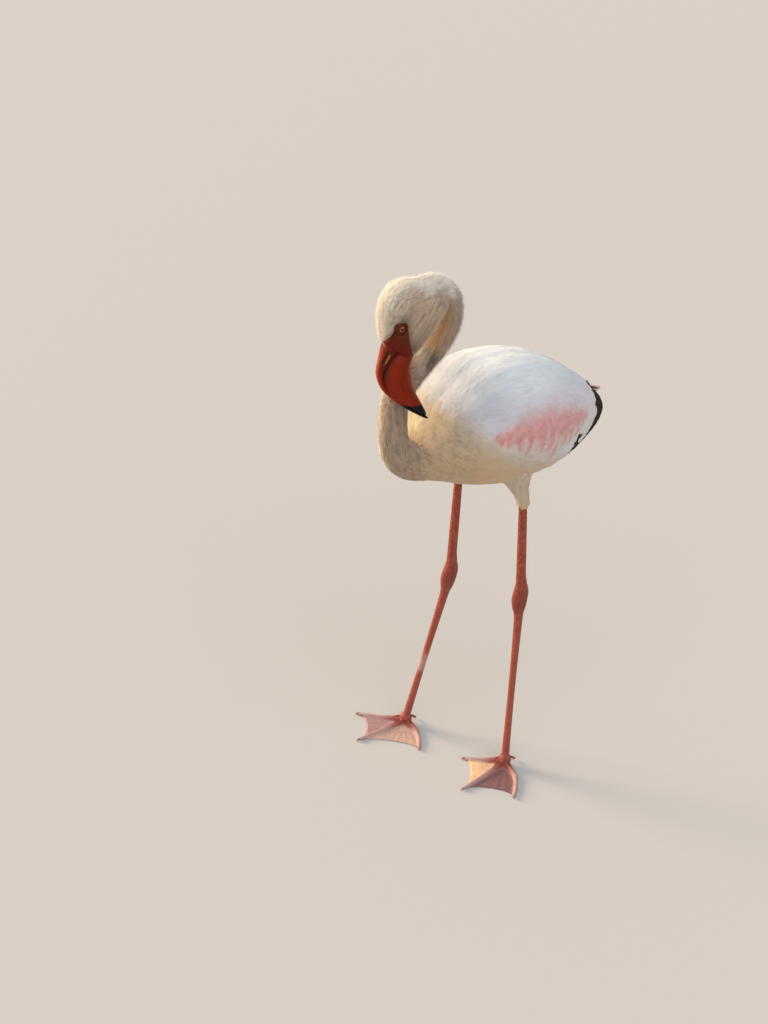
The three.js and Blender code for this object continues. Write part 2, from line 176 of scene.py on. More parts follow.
def applied(made):
    """The object's mesh with its modifiers applied."""
    graph = bpy.context.evaluated_depsgraph_get()
    mesh = bpy.data.meshes.new_from_object(made.evaluated_get(graph))
    bpy.data.objects.remove(made)
    return mesh


def recast(mesh, voxel):
    """The outer surface of closed bodies, as one mesh of even squares."""
    made = show("recast", mesh)
    remesh = made.modifiers.new("remesh", "REMESH")
    remesh.mode = "VOXEL"
    remesh.voxel_size = voxel * MM
    return applied(made)


def rows_of(items, field, width, kind=float):
    """One field of a mesh's vertices, edges or faces, as an array with a row for each."""
    values = np.empty(len(items) * width, kind)
    items.foreach_get(field, values)
    return values.reshape(-1, width)


def points(mesh):
    """Places of a mesh's vertices."""
    return rows_of(mesh.vertices, "co", 3)


def edges(mesh):
    """The two vertices of each of a mesh's edges."""
    return rows_of(mesh.edges, "vertices", 2, int)


def moved(mesh, co):
    """The mesh with its vertices moved to places."""
    mesh.vertices.foreach_set("co", co.ravel())
    mesh.update()
    return mesh


def smooth(mesh):
    """The mesh with its faces shaded smooth."""
    mesh.polygons.foreach_set("use_smooth", np.ones(len(mesh.polygons), bool))
    return mesh


def mean_of_neighbours(values, pairs, count):
    """The mean, at each vertex, of the values at the vertices it shares an edge with."""
    total = np.zeros_like(values)
    for k in range(values.shape[1]):
        total[:, k] = np.bincount(pairs[:, 0], values[pairs[:, 1], k], count)
        total[:, k] += np.bincount(pairs[:, 1], values[pairs[:, 0], k], count)
    degree = np.bincount(pairs.ravel(), minlength=count)
    return total / np.maximum(degree, 1)[:, None]


def ironed(mesh, rounds, shrink=0.53):
    """Smooths a mesh without thinning it: each round draws in and then pushes back out."""
    co = points(mesh)
    pairs = edges(mesh)
    for step in range(rounds):
        co += 0.5 * (mean_of_neighbours(co, pairs, len(co)) - co)
        co -= shrink * (mean_of_neighbours(co, pairs, len(co)) - co)
    return moved(mesh, co)


def grown(mesh, distance):
    """Moves a mesh's surface outwards, in millimetres."""
    normals = rows_of(mesh.vertices, "normal", 3)
    return moved(mesh, points(mesh) + normals * distance * MM)


body_cast = grown(ironed(recast(joined(["trunk", *WINGS, *FLIGHT, *NECK, *THIGHS]), 3.0), 30), 0.3)
head_cast = grown(ironed(recast(joined(["head"]), 1.5), 20), 0.3)
leg_cast = recast(joined(LEG_NODES), 0.8)

# The head's own frame: forward along the skull, left, and up through the crown. The head hangs
# down from level and is turned a little to the bird's right.
to_row = Matrix(((0, 1, 0, 0), (-1, 0, 0, 0), (0, 0, 1, 0), (0, 0, 0, 1)))
head_frame = Matrix.Translation(at(140, 12, 591)) @ to_row
for degrees, axis in ((-22, "Z"), (8, "X"), (62, "Y")):
    head_frame = head_frame @ Matrix.Rotation(math.radians(degrees), 4, axis)

# The neck's centre line, from inside the breast to the back of the head.
NECK_LINE = [
    (55, 0, 424), (96, 0, 413), (121, 2, 424), (133, 3, 447), (136, 3, 471), (133, 0, 490),
    (122, -2, 506), (107, -3, 520), (91, -1, 536), (82, 3, 553), (79, 8, 571), (83, 12, 590),
    (93, 15, 609), (112, 15, 618), (133, 13, 609),
]


def in_bird(co):
    """Forward, left and up of points, in millimetres."""
    co = (np.asarray(co) - np.array(HOME)) / MM
    return np.stack([-co[..., 1], co[..., 0], co[..., 2]], -1)


def in_head(co):
    """Forward, left and up of points in the head's frame, in millimetres."""
    back = np.array(head_frame.inverted())
    return (np.asarray(co) @ back[:3, :3].T + back[:3, 3]) / MM


def rise(values, low, high):
    """A smooth step from 0 at low to 1 at high."""
    share = np.clip((values - low) / (high - low), 0, 1)
    return share * share * (3 - 2 * share)


def between(value, *pairs):
    """Straight lines between (place, value) pairs."""
    return np.interp(value, *zip(*pairs))


def dense(line, count):
    """Evenly spaced points and directions along a smooth line through the given points."""
    knots = np.array([at(*p) for p in line])
    padded = np.vstack([2 * knots[0] - knots[1], knots, 2 * knots[-1] - knots[-2]])
    fine = []
    for k in range(len(knots) - 1):
        a, b, c, d = padded[k:k + 4]
        t = np.linspace(0, 1, 40, endpoint=False)[:, None]
        fine.append(0.5 * (2 * b + (c - a) * t + (2 * a - 5 * b + 4 * c - d) * t**2
                           + (3 * b - a - 3 * c + d) * t**3))
    fine = np.vstack([*fine, knots[-1:]])
    run = np.concatenate([[0], np.cumsum(np.linalg.norm(np.diff(fine, axis=0), axis=1))])
    even = np.linspace(0, run[-1], count)
    spots = np.stack([np.interp(even, run, fine[:, k]) for k in range(3)], -1)
    ways = np.gradient(spots, axis=0)
    return spots, ways / np.linalg.norm(ways, axis=1)[:, None]


neck_spots, neck_ways = dense(NECK_LINE, 240)


def along_neck(co):
    """For each point, the nearest spot of the neck's centre line, and its share of the line."""
    gaps = np.stack([np.linalg.norm(co - spot, axis=1) for spot in neck_spots], -1)
    nearest = gaps.argmin(1)
    return nearest / (len(neck_spots) - 1), nearest


def nearest_kind(kind_of):
    """Gives a function that says what places belong to: the kind of the nearest CAD node."""
    verts, faces, kinds = [], [], []
    for name, kind in kind_of.items():
        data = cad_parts[name].data
        start = len(verts)
        verts += [tuple(v.co) for v in data.vertices]
        faces += [tuple(start + k for k in f.vertices) for f in data.polygons]
        kinds += [kind] * len(data.polygons)
    tree = BVHTree.FromPolygons(verts, faces)
    return lambda co: np.array([kinds[tree.find_nearest(Vector(p))[2]] for p in co])


groups_at = nearest_kind({
    "trunk": TRUNK, "head": HEAD, "bill_upper": HEAD, **dict.fromkeys(WINGS, WING),
    **dict.fromkeys(NECK, NAPE), **dict.fromkeys(THIGHS, THIGH), **dict.fromkeys(LEG_NODES, LEG),
    **dict.fromkeys(FLIGHT, REAR)})


def merged(meshes):
    """Several closed meshes in one."""
    whole = bmesh.new()
    for mesh in meshes:
        whole.from_mesh(mesh)
    both = bpy.data.meshes.new("merged")
    whole.to_mesh(both)
    whole.free()
    return both


def spread(values, pairs, count, rounds):
    """Blurs values over a mesh."""
    flat = values.reshape(count, -1).astype(float)
    for step in range(rounds):
        flat = 0.5 * flat + 0.5 * mean_of_neighbours(flat, pairs, count)
    return flat.reshape(values.shape)


def filled(mesh, rounds):
    """Fills the hollows of a mesh, as deep plumage does, and leaves what stands out."""
    co = points(mesh)
    pairs = edges(mesh)
    for step in range(rounds):
        move = mean_of_neighbours(co, pairs, len(co)) - co
        out = (move * rows_of(moved(mesh, co).vertices, "normal", 3)).sum(1)
        co += 0.8 * move * (out > 0)[:, None]
    return moved(mesh, co)


upper_cast = recast(merged([body_cast, head_cast]), 2.0)
nape_near = np.linalg.norm(in_bird(points(upper_cast)) - np.array([114, 13, 620]), axis=1) < 38
before = points(upper_cast)
filled(upper_cast, 14)
after = points(upper_cast)
after[~nape_near] = before[~nape_near]
upper_cast.vertices.foreach_set("co", after.ravel())
ironed(upper_cast, 6)
skin_mesh = recast(merged([upper_cast, leg_cast]), 1.0)

# Depth of the coat over each kind of skin, in millimetres: none on the legs and the bare face.
COAT_DEPTH = {TRUNK: 5.0, WING: 5.0, NAPE: 3.0, HEAD: 2.2, THIGH: 3.0, LEG: 0.0, REAR: 5.0}
EYE_AT = (8.4, 12.6, 4.4)               # middle of the left eyeball in the head's frame
EYE_RADIUS = 6.0


def bare_face(co):
    """1 on the bare skin from the eye to the bill, 0 in the plumage."""
    forward, left, up = in_head(co).T
    top = between(forward, (0.5, 3), (2, 5), (5, 7), (15, 8), (25, 8.5), (31, 11), (33, 40))
    low = between(forward, (0.5, 3), (3, 0), (14.4, -8.5), (26.9, -22), (33, -40))
    inside = rise(top - up, -0.7, 0.7) * rise(up - low, -0.7, 0.7)
    return np.clip(inside * rise(np.abs(left), 3, 5) + rise(forward, 31, 33), 0, 1)


def coat_depth(co, group):
    """Depth of the coat at places on the skin, which gets less along the neck."""
    share = along_neck(co)[0]
    found = np.choose(group, list(COAT_DEPTH.values()))
    neck = between(share, (0.1, 5), (0.25, 3.4), (0.6, 2.8), (1, 2.4))
    return np.where(group == NAPE, neck, found)


def bump_out(co, normal, middle, size, tall):
    """Moves points out along their normals in a round bump about a point, in millimetres."""
    far = np.linalg.norm((co - np.array(middle)) / MM, axis=1)
    return normal * (tall * np.exp(-(far / size) ** 2))[:, None] * MM


skin_co = points(skin_mesh)
skin_pairs = edges(skin_mesh)
skin_n = rows_of(skin_mesh.vertices, "normal", 3)
skin_group = groups_at(skin_co)
coat = spread(coat_depth(skin_co, skin_group), skin_pairs, len(skin_co), 24)
coat[skin_group == LEG] = 0
coat *= 1 - bare_face(skin_co) * (skin_group == HEAD)
skin_co -= skin_n * coat[:, None] * MM

# The ankle's two knobs: the head of the tarsus in front, and the end of the shank behind.
ANKLES = [at(-40.3, 41.2, 217), at(-3.6, -38.6, 214)]
KNOBS = [(7, -4, 8, 1.7), (6, -15, 8, 1.6), (-7, 9, 9, 1.5), (-6, 20, 8, 1.4)]
for ankle in ANKLES:
    for ahead, above, size, tall in KNOBS:
        knob = ankle + Vector((0, -ahead, above)) * MM
        skin_co += bump_out(skin_co, skin_n, knob, size, tall) * (skin_group == LEG)[:, None]

# The rear of the folded wing is drawn in below, where the flight feathers' tips close under it,
# and the shoulders and the back of the crown are a little fuller.
for side in (1, -1):
    for spot, size, tall in (((-112, 46 * side, 411), 19, -5.0), ((-92, 55 * side, 412), 16, -2.5),
                             ((-136, 24 * side, 429), 13, 2.5), ((34, 41 * side, 492), 30, 2.6)):
        skin_co += bump_out(skin_co, skin_n, at(*spot), size, tall)
skin_co += bump_out(skin_co, skin_n, at(134, 10, 629), 12, 2.2)

# Where the neck bends behind the bill, its skin is creased lengthwise on the side it turns to,
# and swells a little before the creases.
BEND_FACES = np.array([0.59, 0.67, 0.45])
CREASES = [((96, 12, 542), (104, 10, 527)), ((95, 12, 534), (101, 12, 521))]


def beside_line(co, start, end):
    """Distance of points from a line over the neck, in mm, as seen square on to its bend."""
    run = np.array(end) - np.array(start)
    run = run - (run @ BEND_FACES) * BEND_FACES
    off = in_bird(co) - np.array(start)
    off -= (off @ BEND_FACES)[:, None] * BEND_FACES
    share = np.clip((off @ run) / (run @ run), 0, 1)
    return np.linalg.norm(off - share[:, None] * run, axis=1)


def creased(co, width):
    """1 in the creases of the neck's bend, 0 away from them."""
    out = (in_bird(co) - in_bird(neck_spots[along_neck(co)[1]])) @ BEND_FACES
    nearest = np.min([beside_line(co, *line) for line in CREASES], axis=0)
    return rise(out, 1, 5) * np.exp(-(nearest / width) ** 2)


skin_co -= skin_n * (1.6 * creased(skin_co, 1.9) * (skin_group == NAPE))[:, None] * MM
skin_co += bump_out(skin_co, skin_n, at(111, 4, 538), 8, 1.3) * (skin_group == NAPE)[:, None]

# The webs climb to the root of the toes, and lie in shallow folds between them.
HUBS = [at(-27, 64, 0), at(23, -60, 0)]
foot = (skin_group == LEG) & (skin_co[:, 2] < 14 * MM)
for hub in HUBS:
    flat = (skin_co - np.array(hub)) / MM
    far = np.hypot(flat[:, 0], flat[:, 1])
    bearing = np.arctan2(flat[:, 1], flat[:, 0])
    fold = 0.14 * np.sin(bearing * 26) * rise(far, 12, 30) + 4.0 * np.exp(-((far / 13) ** 2))
    share_up = np.clip(skin_co[:, 2] / (1.6 * MM), 0, 1) * (far < 90) * foot
    skin_co[:, 2] += fold * share_up * MM * (skin_co[:, 2] < 6 * MM)

# The eye sockets: the skin dips to the eyeball and runs on behind it.
fore, aside, high = in_head(skin_co).T
off = np.hypot(fore - EYE_AT[0], high - EYE_AT[2])
for half in (1, -1):
    near = (half * aside > 6) & (off < 11) & (skin_group == HEAD)
    dip = 2.4 * (1 - rise(off, 4.8, 10.5)) + 3.5 * (1 - rise(off, 3.2, 4.6))
    inwards = -half * np.array(head_frame.to_3x3().col[1])
    skin_co += inwards * (dip * near)[:, None] * MM
moved(skin_mesh, skin_co)

# Under the plumage the skin is thinned to what carries the feathers.
skin = show("skin", skin_mesh)
plumed = skin.vertex_groups.new(name="plumed")
plumed.add([int(k) for k in np.nonzero(coat > 2.5)[0]], 1.0, "REPLACE")
thin = skin.modifiers.new("thin", "DECIMATE")
thin.ratio = 0.3
thin.vertex_group = "plumed"
skin_mesh = applied(skin)
whole = bmesh.new()
whole.from_mesh(skin_mesh)
bmesh.ops.triangulate(whole, faces=whole.faces)
whole.to_mesh(skin_mesh)
whole.free()
skin_mesh.update()

# ---------------------------------------------------------------- the ground of the plumage
# Every feather grows from a triangle of the skin, and lies over it along the lie of the plumage.
ground = points(skin_mesh)
ground_n = rows_of(skin_mesh.vertices, "normal", 3)
tris = rows_of(skin_mesh.polygons, "vertices", 3, int)
ground_pairs = edges(skin_mesh)
ground_tree = BVHTree.FromPolygons([tuple(p) for p in ground], [tuple(t) for t in tris])
ground_group = groups_at(ground)
ground_share, ground_nearest = along_neck(ground)
ground_face = bare_face(ground) * (ground_group == HEAD)
depth = spread(coat_depth(ground, ground_group), ground_pairs, len(ground), 3) * (1 - ground_face)
SPINE = [(-154, 412), (-90, 426), (0, 436), (45, 436), (80, 429), (108, 417)]


def rowed(forward, left, up):
    """Vectors of the bird's frame in the row frame."""
    return np.stack([left, -forward, up], -1)


def lie_of_body(co):
    """Back along the top, more and more downwards over the flank, and back again below."""
    forward, left, up = in_bird(co).T
    roll = np.degrees(np.arctan2(up - between(forward, *SPINE), np.abs(left) + 1e-6))
    drop = between(roll, (-90, 0), (-60, 18), (-25, 44), (5, 44), (35, 18), (70, 3), (90, 0))
    drop = drop * between(forward, (-150, 0.05), (-110, 0.45), (-40, 1), (60, 0.9), (110, 0.3))
    drop = np.radians(drop)
    return rowed(-np.cos(drop), 0 * drop, -np.sin(drop))


def unit(vectors):
    """The vectors at length 1."""
    return vectors / (np.linalg.norm(vectors, axis=-1, keepdims=True) + 1e-12)


thigh_way = {}
for side in SIDES:
    low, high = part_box(f"thigh_{side}")
    shank_low, shank_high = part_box(f"shank_{side}")
    top = Vector(((low.x + high.x) / 2, (low.y + high.y) / 2, high.z))
    end = Vector(((shank_low.x + shank_high.x) / 2, (shank_low.y + shank_high.y) / 2, shank_high.z))
    thigh_way[side] = np.array((end - top).normalized())
lie = lie_of_body(ground)
on_neck = ground_group == NAPE
lie[on_neck] = -neck_ways[ground_nearest[on_neck]]
on_head = ground_group == HEAD
to_nape = unit(np.array(at(104, 15, 618)) - ground[on_head])
turn = rise(-in_head(ground[on_head])[:, 0], -14, 24)[:, None]
lie[on_head] = -np.array(head_frame.to_3x3().col[0]) * (1 - turn) + to_nape * turn
left_half = ground[:, 0] > HOME.x
for side, half in (("left", left_half), ("right", ~left_half)):
    lie[(ground_group == THIGH) & half] = thigh_way[side]
lie = spread(lie, ground_pairs, len(lie), 16)
lie -= ground_n * (lie * ground_n).sum(1)[:, None]
lie /= np.linalg.norm(lie, axis=1)[:, None] + 1e-9


def blended(values, index, shares):
    """Corner values at points given by triangle and shares of its corners."""
    weight = shares if values.ndim == 1 else shares[..., None]
    return (values[tris[index]] * weight).sum(1)


def landed(co):
    """Nearest point of the skin to each point, with its triangle and its shares of the corners."""
    spots = np.empty_like(co)
    index = np.empty(len(co), int)
    for k, p in enumerate(co):
        spot, normal, face, distance = ground_tree.find_nearest(p)
        spots[k] = spot
        index[k] = face
    a, b, c = (ground[tris[index, k]] for k in range(3))
    ab, ac, ap = b - a, c - a, spots - a
    d00, d01, d11 = (ab * ab).sum(1), (ab * ac).sum(1), (ac * ac).sum(1)
    d20, d21 = (ap * ab).sum(1), (ap * ac).sum(1)
    scale = d00 * d11 - d01 * d01 + 1e-30
    v = (d11 * d20 - d01 * d21) / scale
    w = (d00 * d21 - d01 * d20) / scale
    shares = np.clip(np.stack([1 - v - w, v, w], -1), 0, 1)
    return spots, index, shares / shares.sum(1)[:, None]


def sow(wanted, spacing, seed):
    """Roots spread evenly over the wanted triangles, no two nearer than the spacing there (mm)."""
    random = np.random.default_rng(seed)
    corner = ground[tris]
    area = np.linalg.norm(np.cross(corner[:, 1] - corner[:, 0], corner[:, 2] - corner[:, 0]), axis=1) / 2
    expected = np.where(wanted, area / (spacing[tris].mean(1) * MM) ** 2, 0)
    count = int(expected.sum() * 3)                       # three tries for each feather
    index = random.choice(len(tris), count, p=expected / expected.sum())
    u, v = random.random((2, count))
    over = u + v > 1
    u[over], v[over] = 1 - u[over], 1 - v[over]
    shares = np.stack([1 - u - v, u, v], -1)
    co = blended(ground, index, shares)
    room = blended(spacing, index, shares) * MM
    tree = KDTree(count)
    for k, p in enumerate(co):
        tree.insert(p, k)
    tree.balance()
    kept = np.zeros(count, bool)
    for k, p in enumerate(co):
        kept[k] = not any(kept[other] for spot, other, distance in tree.find_range(p, room[k]))
    return co[kept], index[kept], shares[kept]


def mapped(wanted):
    """An unwrap of the wanted stretch of skin by its own shape: the map's place of each corner."""
    chosen = np.nonzero(wanted)[0]
    stretch = bpy.data.meshes.new("stretch")
    stretch.from_pydata([tuple(p) for p in ground], [], [tuple(t) for t in tris[chosen]])
    made = show("stretch", stretch)
    stretch.uv_layers.new(name="OFBake")
    bpy.context.view_layer.objects.active = made
    made.select_set(True)
    bpy.ops.object.mode_set(mode="EDIT")
    bpy.ops.mesh.select_all(action="SELECT")
    bpy.ops.uv.smart_project(angle_limit=math.radians(70), island_margin=0.004)
    bpy.ops.object.mode_set(mode="OBJECT")
    flat = rows_of(stretch.uv_layers["OFBake"].data, "uv", 2)
    bpy.data.objects.remove(made)
    where = np.zeros((len(tris), 3, 2))
    where[chosen] = flat.reshape(-1, 3, 2)
    return where


# ---------------------------------------------------------------- markings
# Skin and plumage take their colour from the same markings: white above, warm cream below, pink
# coverts low on the wing, and buff down on head and neck, palest on the forehead. Some of it is
# painted light: painted sunlight on the breast, on the neck's lit side and on a lobe under the bill,
# painted warm light under the body, and painted shade in the neck's creases and round the eye, the
# bare face and the jowl. The three lines give a height or a reach at places forward of the feet,
# in millimetres.
WARM_LINE = [(-150, 384), (-60, 398), (-13, 414), (40, 442), (70, 463), (95, 478)]
PINK_LINE = [(-90, 446), (-66, 446), (-34, 443), (5, 450), (42, 452)]
PINK_REACH = [(-90, 3), (-66, 17), (-34, 28), (5, 23), (40, 9), (52, 2)]
NECK_RUN = 330                          # length of the neck's centre line, in millimetres
NECK_RADIUS = 13


def waves(spots, size, seed):
    """Smooth random values between 0 and 1 that change over about that size."""
    random = np.random.default_rng(seed)
    total = np.zeros(len(spots))
    for k in range(7):
        way = unit(random.standard_normal(spots.shape[1]))
        total += np.sin(spots @ way * (2 * math.pi / size) * random.uniform(0.6, 1.5)
                        + random.uniform(0, 2 * math.pi))
    return 0.5 + 0.5 * np.tanh(total / 2.2)


def patches(co, size, seed):
    """The same over places on the bird, in millimetres."""
    return waves(in_bird(co), size, seed)


def laid(colour, *layers):
    """Colours laid over others in turn, each by its weight at each place."""
    for tone, weight in layers:
        colour = colour + (np.array(hexed(tone)[:3]) - colour) * np.clip(weight, 0, 1)[:, None]
    return colour


def blushed(colour, co):
    """Pink of the lower wing coverts: full above, and running out below in upright streaks."""
    forward, left, up = in_bird(co).T
    random = np.random.default_rng(8)
    streak = np.zeros(len(co))
    for k in range(8):
        turn_of = 2 * math.pi / random.uniform(5, 18)
        streak += np.sin((forward + 0.15 * up) * turn_of + random.uniform(0, 6)
                         + 0.02 * up * random.uniform(-1, 1))
    streak = 0.5 + 0.5 * np.tanh(streak / 2.4)
    reach = between(forward, *PINK_REACH)
    off = (up - between(forward, *PINK_LINE)) / reach + 0.3 * (patches(co, 24, 3) - 0.5)
    upper = 1 - rise(off + 0.25 * (streak - 0.5), 0.15, 1.35)
    lower = rise(off, -1.3 + 1.0 * (1 - streak), -0.9 + 1.0 * (1 - streak))
    vanes = waves(np.column_stack([forward + 0.25 * up, 0.12 * up]), 4.5, 27)
    full = np.where(off > 0.35, 0.9, 0.45 + 0.3 * streak + 0.25 * vanes)
    on_side = rise(np.abs(left), 22, 32)
    on_coverts = upper * on_side * rise(reach, 3.2, 6)
    pink = lower * full * on_coverts
    around = 1 - rise(np.hypot((forward + 12) / 85, (up - 462) / 30), 0.4, 1.2)
    return laid(colour, ("#edd0d2", 0.5 * around * on_side),
                ("#ead2bc", 0.75 * rise(off, -1.5, -0.7) * on_coverts),
                ("#f5a59d", pink), ("#e67c7c", 0.85 * pink * patches(co, 9, 15)))


def body_marks(co, mottle):
    """White above, with a grey shoulder, and warm cream below and in front, partly painted warm light from
    below, with a painted pool of sunlight on the breast.
    """
    forward, _, up = in_bird(co).T
    below = between(forward, *WARM_LINE) - up
    breast = rise(forward, 56, 82) * rise(up, 434, 448) * (1 - rise(up, 464, 480))
    off_painted_sunspot = np.linalg.norm(in_bird(co) - np.array([94, -10, 453]), axis=1)
    return laid(np.array(hexed("#ebeeef")[:3]),
                ("#fdfefa", rise(up, 470, 496) * (1 - rise(forward, 0, 36))),
                ("#c9cbcb", 0.75 * rise(forward, 10, 44) * rise(up, 458, 476)),
                ("#efe0d8", rise(-forward, 60, 100) * (1 - rise(up, 452, 472))),
                # warm cream below, deepening downwards: partly the plumage's own cream, partly painted
                # warm light bounced up from below
                ("#dcc8ac", rise(below, -20, 8)),
                ("#e0bd88", rise(below, -2, 26)),
                ("#e2b06c", rise(below, 25, 60)),
                ("#cbb28a", 0.5 * rise(forward, 40, 66) * rise(below, -20, 4)),
                ("#bfa27a", 0.7 * breast),
                # painted sunlight: a pale yellow pool on the front of the breast
                ("#f9e9b2", 0.9 * np.exp(-(off_painted_sunspot / 12) ** 2)),
                ("#85694f", 0.6 * mottle * rise(forward, 40, 84) * rise(below, -34, -12)))


def neck_marks(co, mottle, share, off_line):
    """Mottled buff, orange-tan down the throat with some painted warm light in it, pale over the arch,
    painted sunlight on the side facing the key light and on a lobe under the bill, and painted shade in
    the bend's creases.
    """
    up = in_bird(co)[:, 2]
    in_front = off_line @ rowed(1.0, 0.0, 0.0) / NECK_RADIUS
    # how far each place lies towards the side that faces the key light, which gets painted sunlight
    outer = off_line @ rowed(0.55, -0.83, 0.0) / NECK_RADIUS
    fold = waves(np.column_stack([off_line, 0.25 * NECK_RUN * share]), 7, 23)
    off_bend, off_crease, off_sunlit_lobe = (np.linalg.norm(in_bird(co) - np.array(spot), axis=1)
                                      for spot in ((108, 9, 522), (97, 11, 529), (107, 0, 540)))
    # orange-tan down the throat: partly the down's own colour, partly painted warm light
    throat = np.clip(0.1 + 1.1 * in_front, 0, 1) * rise(share, 0.42, 0.53)
    throat = throat * (1 - 0.5 * rise(share, 0.9, 1))
    return laid(np.array(hexed("#bd9a76")[:3]),
                ("#bfa58c", rise(share, 0.45, 0.75)),
                ("#cc9850", throat),
                ("#fbeedb", rise(up, 604, 622)),
                # painted sunlight: pale cream on the lower neck's side that faces the key light
                ("#fff0c6", rise(outer, 0.5, 0.95) * (1 - rise(share, 0.4, 0.5))),
                ("#6f5947", 0.85 * mottle * (1 - 0.7 * rise(share, 0.4, 0.55))),
                ("#cdb2a8", 0.8 * np.exp(-(off_bend / 10) ** 2)),
                # painted shade: dark brown beside the creases of the neck's bend, near black in them
                ("#4a382c", 0.5 * np.exp(-(off_crease / 9) ** 2) * rise(fold, 0.2, 0.6)),
                ("#20150e", 0.95 * creased(co, 2.0)),
                # painted sunlight on a lobe of the neck under the bill
                ("#fff3d4", 0.95 * np.exp(-(off_sunlit_lobe / 8) ** 2)))


def head_marks(fore, aside, high, behind):
    """Cream on the crown and buff on the cheek; brown round the bare face and on the jowl, partly plumage
    and partly painted shade; and a brown patch above the eye, deepened by painted shade of the brow.
    """
    flank = rise(np.abs(aside), 3, 8)
    cheek = np.maximum(rise(np.abs(aside), 8, 14), 1 - rise(high, -8, 2)) * (1 - rise(high, 14, 24))
    low_cheek = cheek * rise(np.abs(aside), 5, 12) * (1 - rise(high, 0, 14)) * rise(fore, -46, -16)
    brow = np.exp(-(np.hypot(fore - 0.3, (high - 6.2) * 1.2) / 5.4) ** 2)
    jowl = np.exp(-(np.hypot(fore - 24, high + 22) / 12) ** 2)
    brink = np.minimum(between(fore, (0, 5), (5, 8.5), (25, 10), (31, 13), (33, 40)) + 2 - high,
                       high - between(fore, (0, 0), (14.4, -11), (26.9, -25), (33, -40)) + 2)
    return laid(np.array(hexed("#fdf0d8")[:3]),
                ("#ecd0b0", cheek),
                ("#d8b690", low_cheek),
                # brown round the bare face's edge: partly plumage, partly painted shade
                ("#8a6647", 0.7 * rise(brink, -1.5, 2) * rise(fore, -3, 3) * flank),
                # a brown patch above and behind the eye, deepened by painted shade of the brow
                ("#5f3d26", 0.9 * brow * flank),
                ("#8c6c50", behind),
                # brown on the jowl, deepened by painted shade
                ("#7a4b20", 0.85 * jowl * flank))


def markings(co):
    """Colour of the plumage at places on the skin, and how dark the streaks in it are."""
    forward, left, up = in_bird(co).T
    fore, aside, high = in_head(co).T
    share, nearest = along_neck(co)
    off_line = (co - neck_spots[nearest]) / MM
    mottle = 1.8 * patches(co, 8, 5) - 1
    body = body_marks(co, mottle)
    neck = neck_marks(co, mottle, share, off_line)

    # Where the neck leaves the breast the two run into each other.
    near = 0.6 * rise(forward, 88, 110) * (1 - rise(up, 440, 464))
    body = body + (neck - body) * near[:, None]
    join = 1 - rise(share, 0.14, 0.3)
    neck = neck + (body - neck) * join[:, None]
    behind = 0.6 * np.exp(-(beside_line(co, (114, 31, 621), (105, 31, 605)) / 4.5) ** 2)
    head = head_marks(fore, aside, high, behind)
    neck = laid(neck, ("#8c6c50", behind))
    thigh = laid(body, ("#dcc6ae", 0.9 - 0.4 * rise(-forward * np.sign(left), 14, 34)))

    neck_grain = waves(np.column_stack([off_line, 0.2 * NECK_RUN * share]), 4.5, 17)
    head_grain = waves(np.column_stack([0.2 * fore, aside, high]), 3.4, 18)
    body_grain = waves(np.column_stack([0.15 * forward, left, up + 0.3 * forward]), 7, 20)
    on_body = 0.02 + 0.13 * body_grain**2
    on_nape = 0.08 + 0.7 * neck_grain**2 * (1 - 0.5 * rise(share, 0.75, 0.95))
    on_body = on_body + (on_nape - on_body) * near
    on_nape = on_nape + (on_body - on_nape) * join
    on_head = 0.03 + (0.35 + 0.6 * rise(np.abs(aside), 8, 14)) * head_grain**2

    group = groups_at(co)
    kinds = [np.isin(group, (TRUNK, WING, REAR, LEG)), group == NAPE, group == HEAD, group == THIGH]
    colour = np.select([kind[:, None] for kind in kinds], [body, neck, head, thigh])
    streaks = np.select(kinds, [on_body, on_nape, on_head, np.full(len(co), 0.1)])
    return np.column_stack([colour, streaks])


def store(mesh, name, kind, domain, values):
    """Keeps values on a mesh under a name."""
    layer = mesh.attributes.new(name, kind, domain)
    field = {"FLOAT_COLOR": "color", "FLOAT_VECTOR": "vector"}.get(kind, "value")
    layer.data.foreach_set(field, np.asarray(values).ravel())


def barbs_of(tree, vane, over_half, over_length):
    """Waves for a feather's barbs, which slant from its shaft to its tip: so many over half the
    vane's width and so many over its length. Real barbs are two to ten times finer."""
    xyz = add(tree, "ShaderNodeSeparateXYZ", {0: vane.outputs["Vector"]})
    out = add(tree, "ShaderNodeMath", {0: xyz.outputs[0]}, operation="ABSOLUTE")
    out = add(tree, "ShaderNodeMath", {0: out, 1: over_half}, operation="MULTIPLY")
    back = add(tree, "ShaderNodeMath", {0: xyz.outputs[1], 1: -over_length}, operation="MULTIPLY")
    turns = add(tree, "ShaderNodeMath", {0: out, 1: back}, operation="ADD")
    angle = add(tree, "ShaderNodeMath", {0: turns, 1: 2 * math.pi}, operation="MULTIPLY")
    return add(tree, "ShaderNodeMath", {0: angle}, operation="SINE")


